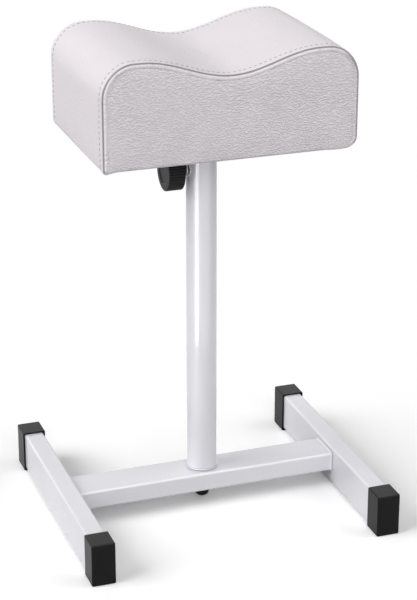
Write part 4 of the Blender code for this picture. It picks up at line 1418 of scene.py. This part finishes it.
class FOOTREST_OT_underside(bpy.types.Operator):
    """The dust cloth under the board, with its turned hem and staples"""

    bl_idname = "footrest.underside"
    bl_label = "Dust cloth and staples"

    def execute(self, context):
        half_x, half_y = CLOTH_WIDTH / 2, CLOTH_DEPTH / 2
        low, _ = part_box("underside_cloth")
        middle_z, edge_z = low.z + 0.0002, low.z - 0.0009
        x, y = np.meshgrid(np.linspace(-half_x, half_x, 75), np.linspace(-half_y, half_y, 51), indexing="ij")
        inside = np.minimum(half_x - abs(x) - CLOTH_EDGE[0], half_y - abs(y) - CLOTH_EDGE[1])
        ease = smooth(ramp(inside, 0.0, CLOTH_STEP))
        ripple = np.sin(x * 61 + 1.7 * np.sin(y * 37)) * np.sin(y * 83 + 0.8 * np.sin(x * 29))
        under_plate = (abs(x) < CLOTH_FLAT[0]) & (abs(y) < CLOTH_FLAT[1])
        z = edge_z + (middle_z - edge_z) * ease
        z = z - np.where(under_plate, 0.0, 0.00012 * (1 + ripple) * (1 - ease * 0.4))
        body = bmesh.new()
        verts = [[body.verts.new(point) for point in line] for line in np.stack([x, y, z], axis=2)]
        for near, far in zip(verts, verts[1:]):
            for j in range(len(near) - 1):
                body.faces.new((near[j], far[j], far[j + 1], near[j + 1]))
        border = [line[0] for line in verts] + verts[-1][1:]
        border += [line[-1] for line in verts[-2::-1]] + verts[0][-2:0:-1]
        rings = [border]
        for out, up in ((0.0005, 0.00025), (-0.0012, 0.00055), (-CLOTH_HEM, 0.0006)):
            moved = [(v.co.x * (1 + out / half_x), v.co.y * (1 + out / half_y), v.co.z + up) for v in border]
            rings.append([body.verts.new(point) for point in moved])
        for first, second in zip(rings, rings[1:]):
            for j in range(len(first)):
                k = (j + 1) % len(first)
                body.faces.new((first[j], first[k], second[k], second[j]))
        mesh = bpy.data.meshes.new("dust_cloth")
        body.to_mesh(mesh)
        body.free()
        cloth = piece("dust_cloth_sheet", mesh, "cushion", "underside_cloth", "dust_cloth", sharp=180.0, weighted=False)

        random = np.random.default_rng(7)
        spots = []
        row_x, row_y = half_x - STAPLE_IN, half_y - STAPLE_IN
        long_row, short_row = half_x - STAPLE_ENDS[0], half_y - STAPLE_ENDS[1]
        for side in (-1, 1):
            spots += [(x, side * row_y, 0.0) for x in np.linspace(-long_row, long_row, 9)]
            spots += [(side * row_x, y, math.pi / 2) for y in np.linspace(-short_row, short_row, 5)]
        staples = []
        for x, y, turn in spots:
            turn += random.uniform(-STAPLE_TURN, STAPLE_TURN)
            x += random.uniform(-STAPLE_SHIFT, STAPLE_SHIFT) * abs(math.cos(turn))
            y += random.uniform(-STAPLE_SHIFT, STAPLE_SHIFT) * abs(math.sin(turn))
            staple = staple_mesh()
            staple.transform(Matrix.Translation((x, y, edge_z)) @ Matrix.Rotation(turn, 4, "Z"))
            staples.append(staple)
        wires = piece(
            "staples", joined(staples), "cushion", None, "zinc_plate",
            finishes=[finish_of("staple")], weighted=False,
        )
        return {"FINISHED"}


def floor_finish():
    """White floor, lit by the scene so that it takes shadows. It runs out to plain white round the object."""
    floor = material("studio_floor")
    seen = floor.seen()
    point = floor.place()
    distance = floor.node("ShaderNodeVectorMath", {"operation": "LENGTH"}, {0: point}, "Value")
    paper = floor.bump(floor.noise(point, 500.0, 2.0), 0.00002)

    def matt(grey):
        return floor.node("ShaderNodeBsdfDiffuse", sockets={"Color": (grey, grey, grey, 1.0), "Normal": paper})

    bright = floor.node("ShaderNodeAddShader", sockets=dict(enumerate(matt(grey) for grey in FLOOR_SEEN)))
    near = floor.node("ShaderNodeMixShader", sockets={0: seen, 1: matt(FLOOR_BOUNCE), 2: bright})
    far = floor.node("ShaderNodeEmission", sockets={"Strength": 1.0})
    share = distance.step(*FLOOR_FADE) * seen
    mixed = floor.node("ShaderNodeMixShader", sockets={0: share, 1: near, 2: far})
    floor.node("ShaderNodeOutputMaterial", sockets={"Surface": mixed})
    return floor.holder


class FOOTREST_OT_stage(bpy.types.Operator):
    """The floor, the studio light and the camera"""

    bl_idname = "footrest.stage"
    bl_label = "Stage"

    def execute(self, context):
        scene = context.scene
        angles = full_turn(96)
        mesh = woven([circle(angles, radius, 0.0) for radius in FLOOR_RADII], caps=("first",))
        mesh.materials.append(floor_finish())
        outward(mesh)
        floor = linked("floor", mesh)
        floor.location.z = -FLOOR_DROP

        scene.world = bpy.data.worlds.new("studio")
        sky = Finish(scene.world)
        seen = sky.seen()
        strength = seen + (1.0 - seen) * sizes().fill_light
        background = sky.node("ShaderNodeBackground", sockets={"Color": (1.0, 1.0, 1.0, 1.0), "Strength": strength})
        sky.node("ShaderNodeOutputWorld", sockets={"Surface": background})

        for name, turn, height, spread_angle, power in SOFT_LIGHTS:
            lamp = bpy.data.lights.new(name, "SUN")
            lamp.energy = sizes().light * power * math.pi
            lamp.angle = math.radians(spread_angle)
            turn, height = math.radians(turn), math.radians(height)
            way = Vector((-math.sin(turn) * math.cos(height), -math.cos(turn) * math.cos(height), math.sin(height)))
            linked(name, lamp).rotation_euler = way.to_track_quat("Z", "Y").to_euler()

        for name, place, target, width, height, power in SOFT_BOXES:
            lamp = bpy.data.lights.new(name, "AREA")
            lamp.shape = "RECTANGLE"
            lamp.size, lamp.size_y, lamp.energy = width, height, power
            holder = linked(name, lamp)
            holder.location = place
            holder.rotation_euler = (Vector(target) - Vector(place)).to_track_quat("-Z", "Y").to_euler()
            holder.visible_camera = False
            holder.visible_diffuse = False

        camera = bpy.data.cameras.new("camera")
        camera.sensor_fit = "AUTO"
        camera.sensor_width = SENSOR
        camera.lens = FOCAL_PIXELS * SENSOR / max(PICTURE_WIDTH, PICTURE_HEIGHT)
        camera.clip_start, camera.clip_end = 0.05, 50.0
        holder = linked("camera", camera)
        azimuth, elevation = math.radians(CAMERA_AZIMUTH), math.radians(CAMERA_ELEVATION)
        right = Vector((math.cos(azimuth), math.sin(azimuth), 0.0))
        level_back = Vector((math.sin(azimuth), -math.cos(azimuth), 0.0))
        back = level_back * math.cos(elevation) + Vector((0.0, 0.0, math.sin(elevation)))
        turn = Matrix((right, back.cross(right), back)).transposed().to_4x4()
        target = right * TARGET_RIGHT + Vector((0.0, 0.0, TARGET_HEIGHT))
        holder.matrix_world = Matrix.Translation(target + back * CAMERA_DISTANCE) @ turn
        scene.camera = holder
        scene.view_settings.view_transform = "Standard"
        return {"FINISHED"}


class FootrestSizes(bpy.types.PropertyGroup):
    """What a user would change"""

    frame_colour: FloatVectorProperty(
        name="Frame colour", description="Powder coat on the steel",
        subtype="COLOR", size=3, min=0.0, max=1.0, default=(0.715, 0.71, 0.75),
    )
    cover_colour: FloatVectorProperty(
        name="Cover colour", description="Coated cloth of the cushion",
        subtype="COLOR", size=3, min=0.0, max=1.0, default=(0.765, 0.718, 0.75),
    )
    top_crown: FloatProperty(
        name="Top crown", description="How far the band stands proud in its middle",
        default=0.0017, min=0.0, unit="LENGTH",
    )
    face_crown: FloatProperty(
        name="Face crown", description="How far each panel stands proud in its middle",
        default=0.0024, min=0.0, unit="LENGTH",
    )
    grain_depth: FloatProperty(
        name="Grain depth", description="Depth of the grain on the panels", default=0.0007, min=0.0, unit="LENGTH",
    )
    stitch_pitch: FloatProperty(
        name="Stitch pitch", description="Length of one stitch and its gap", default=0.0065, min=0.002, unit="LENGTH",
    )
    fill_light: FloatProperty(name="Fill light", description="Even light from all round", default=0.03, min=0.0)
    light: FloatProperty(name="Light", description="Strength of the soft lights together", default=1.0, min=0.0)


class FOOTREST_PT_panel(bpy.types.Panel):
    """Sizes and pieces of the footrest"""

    bl_idname = "FOOTREST_PT_panel"
    bl_label = "Footrest"
    bl_space_type = "VIEW_3D"
    bl_region_type = "UI"
    bl_category = "Footrest"

    def draw(self, context):
        for name in FootrestSizes.__annotations__:
            self.layout.prop(context.scene.footrest, name)
        for operator in OPERATORS:
            self.layout.operator(operator.bl_idname)


OPERATORS = (
    FOOTREST_OT_stage,
    FOOTREST_OT_side_bars,
    FOOTREST_OT_crossbar,
    FOOTREST_OT_foot_caps,
    FOOTREST_OT_column,
    FOOTREST_OT_clamp,
    FOOTREST_OT_telescope,
    FOOTREST_OT_fixings,
    FOOTREST_OT_cushion_cover,
    FOOTREST_OT_topstitching,
    FOOTREST_OT_cushion_inside,
    FOOTREST_OT_underside,
)


def register():
    for cls in (FootrestSizes, *OPERATORS, FOOTREST_PT_panel):
        bpy.utils.register_class(cls)
    bpy.types.Scene.footrest = PointerProperty(type=FootrestSizes)


def unregister():
    del bpy.types.Scene.footrest
    for cls in reversed((FootrestSizes, *OPERATORS, FOOTREST_PT_panel)):
        bpy.utils.unregister_class(cls)


def main():
    register()
    for operator in OPERATORS:
        group, name = operator.bl_idname.split(".")
        getattr(getattr(bpy.ops, group), name)()


if __name__ == "__main__":
    main()
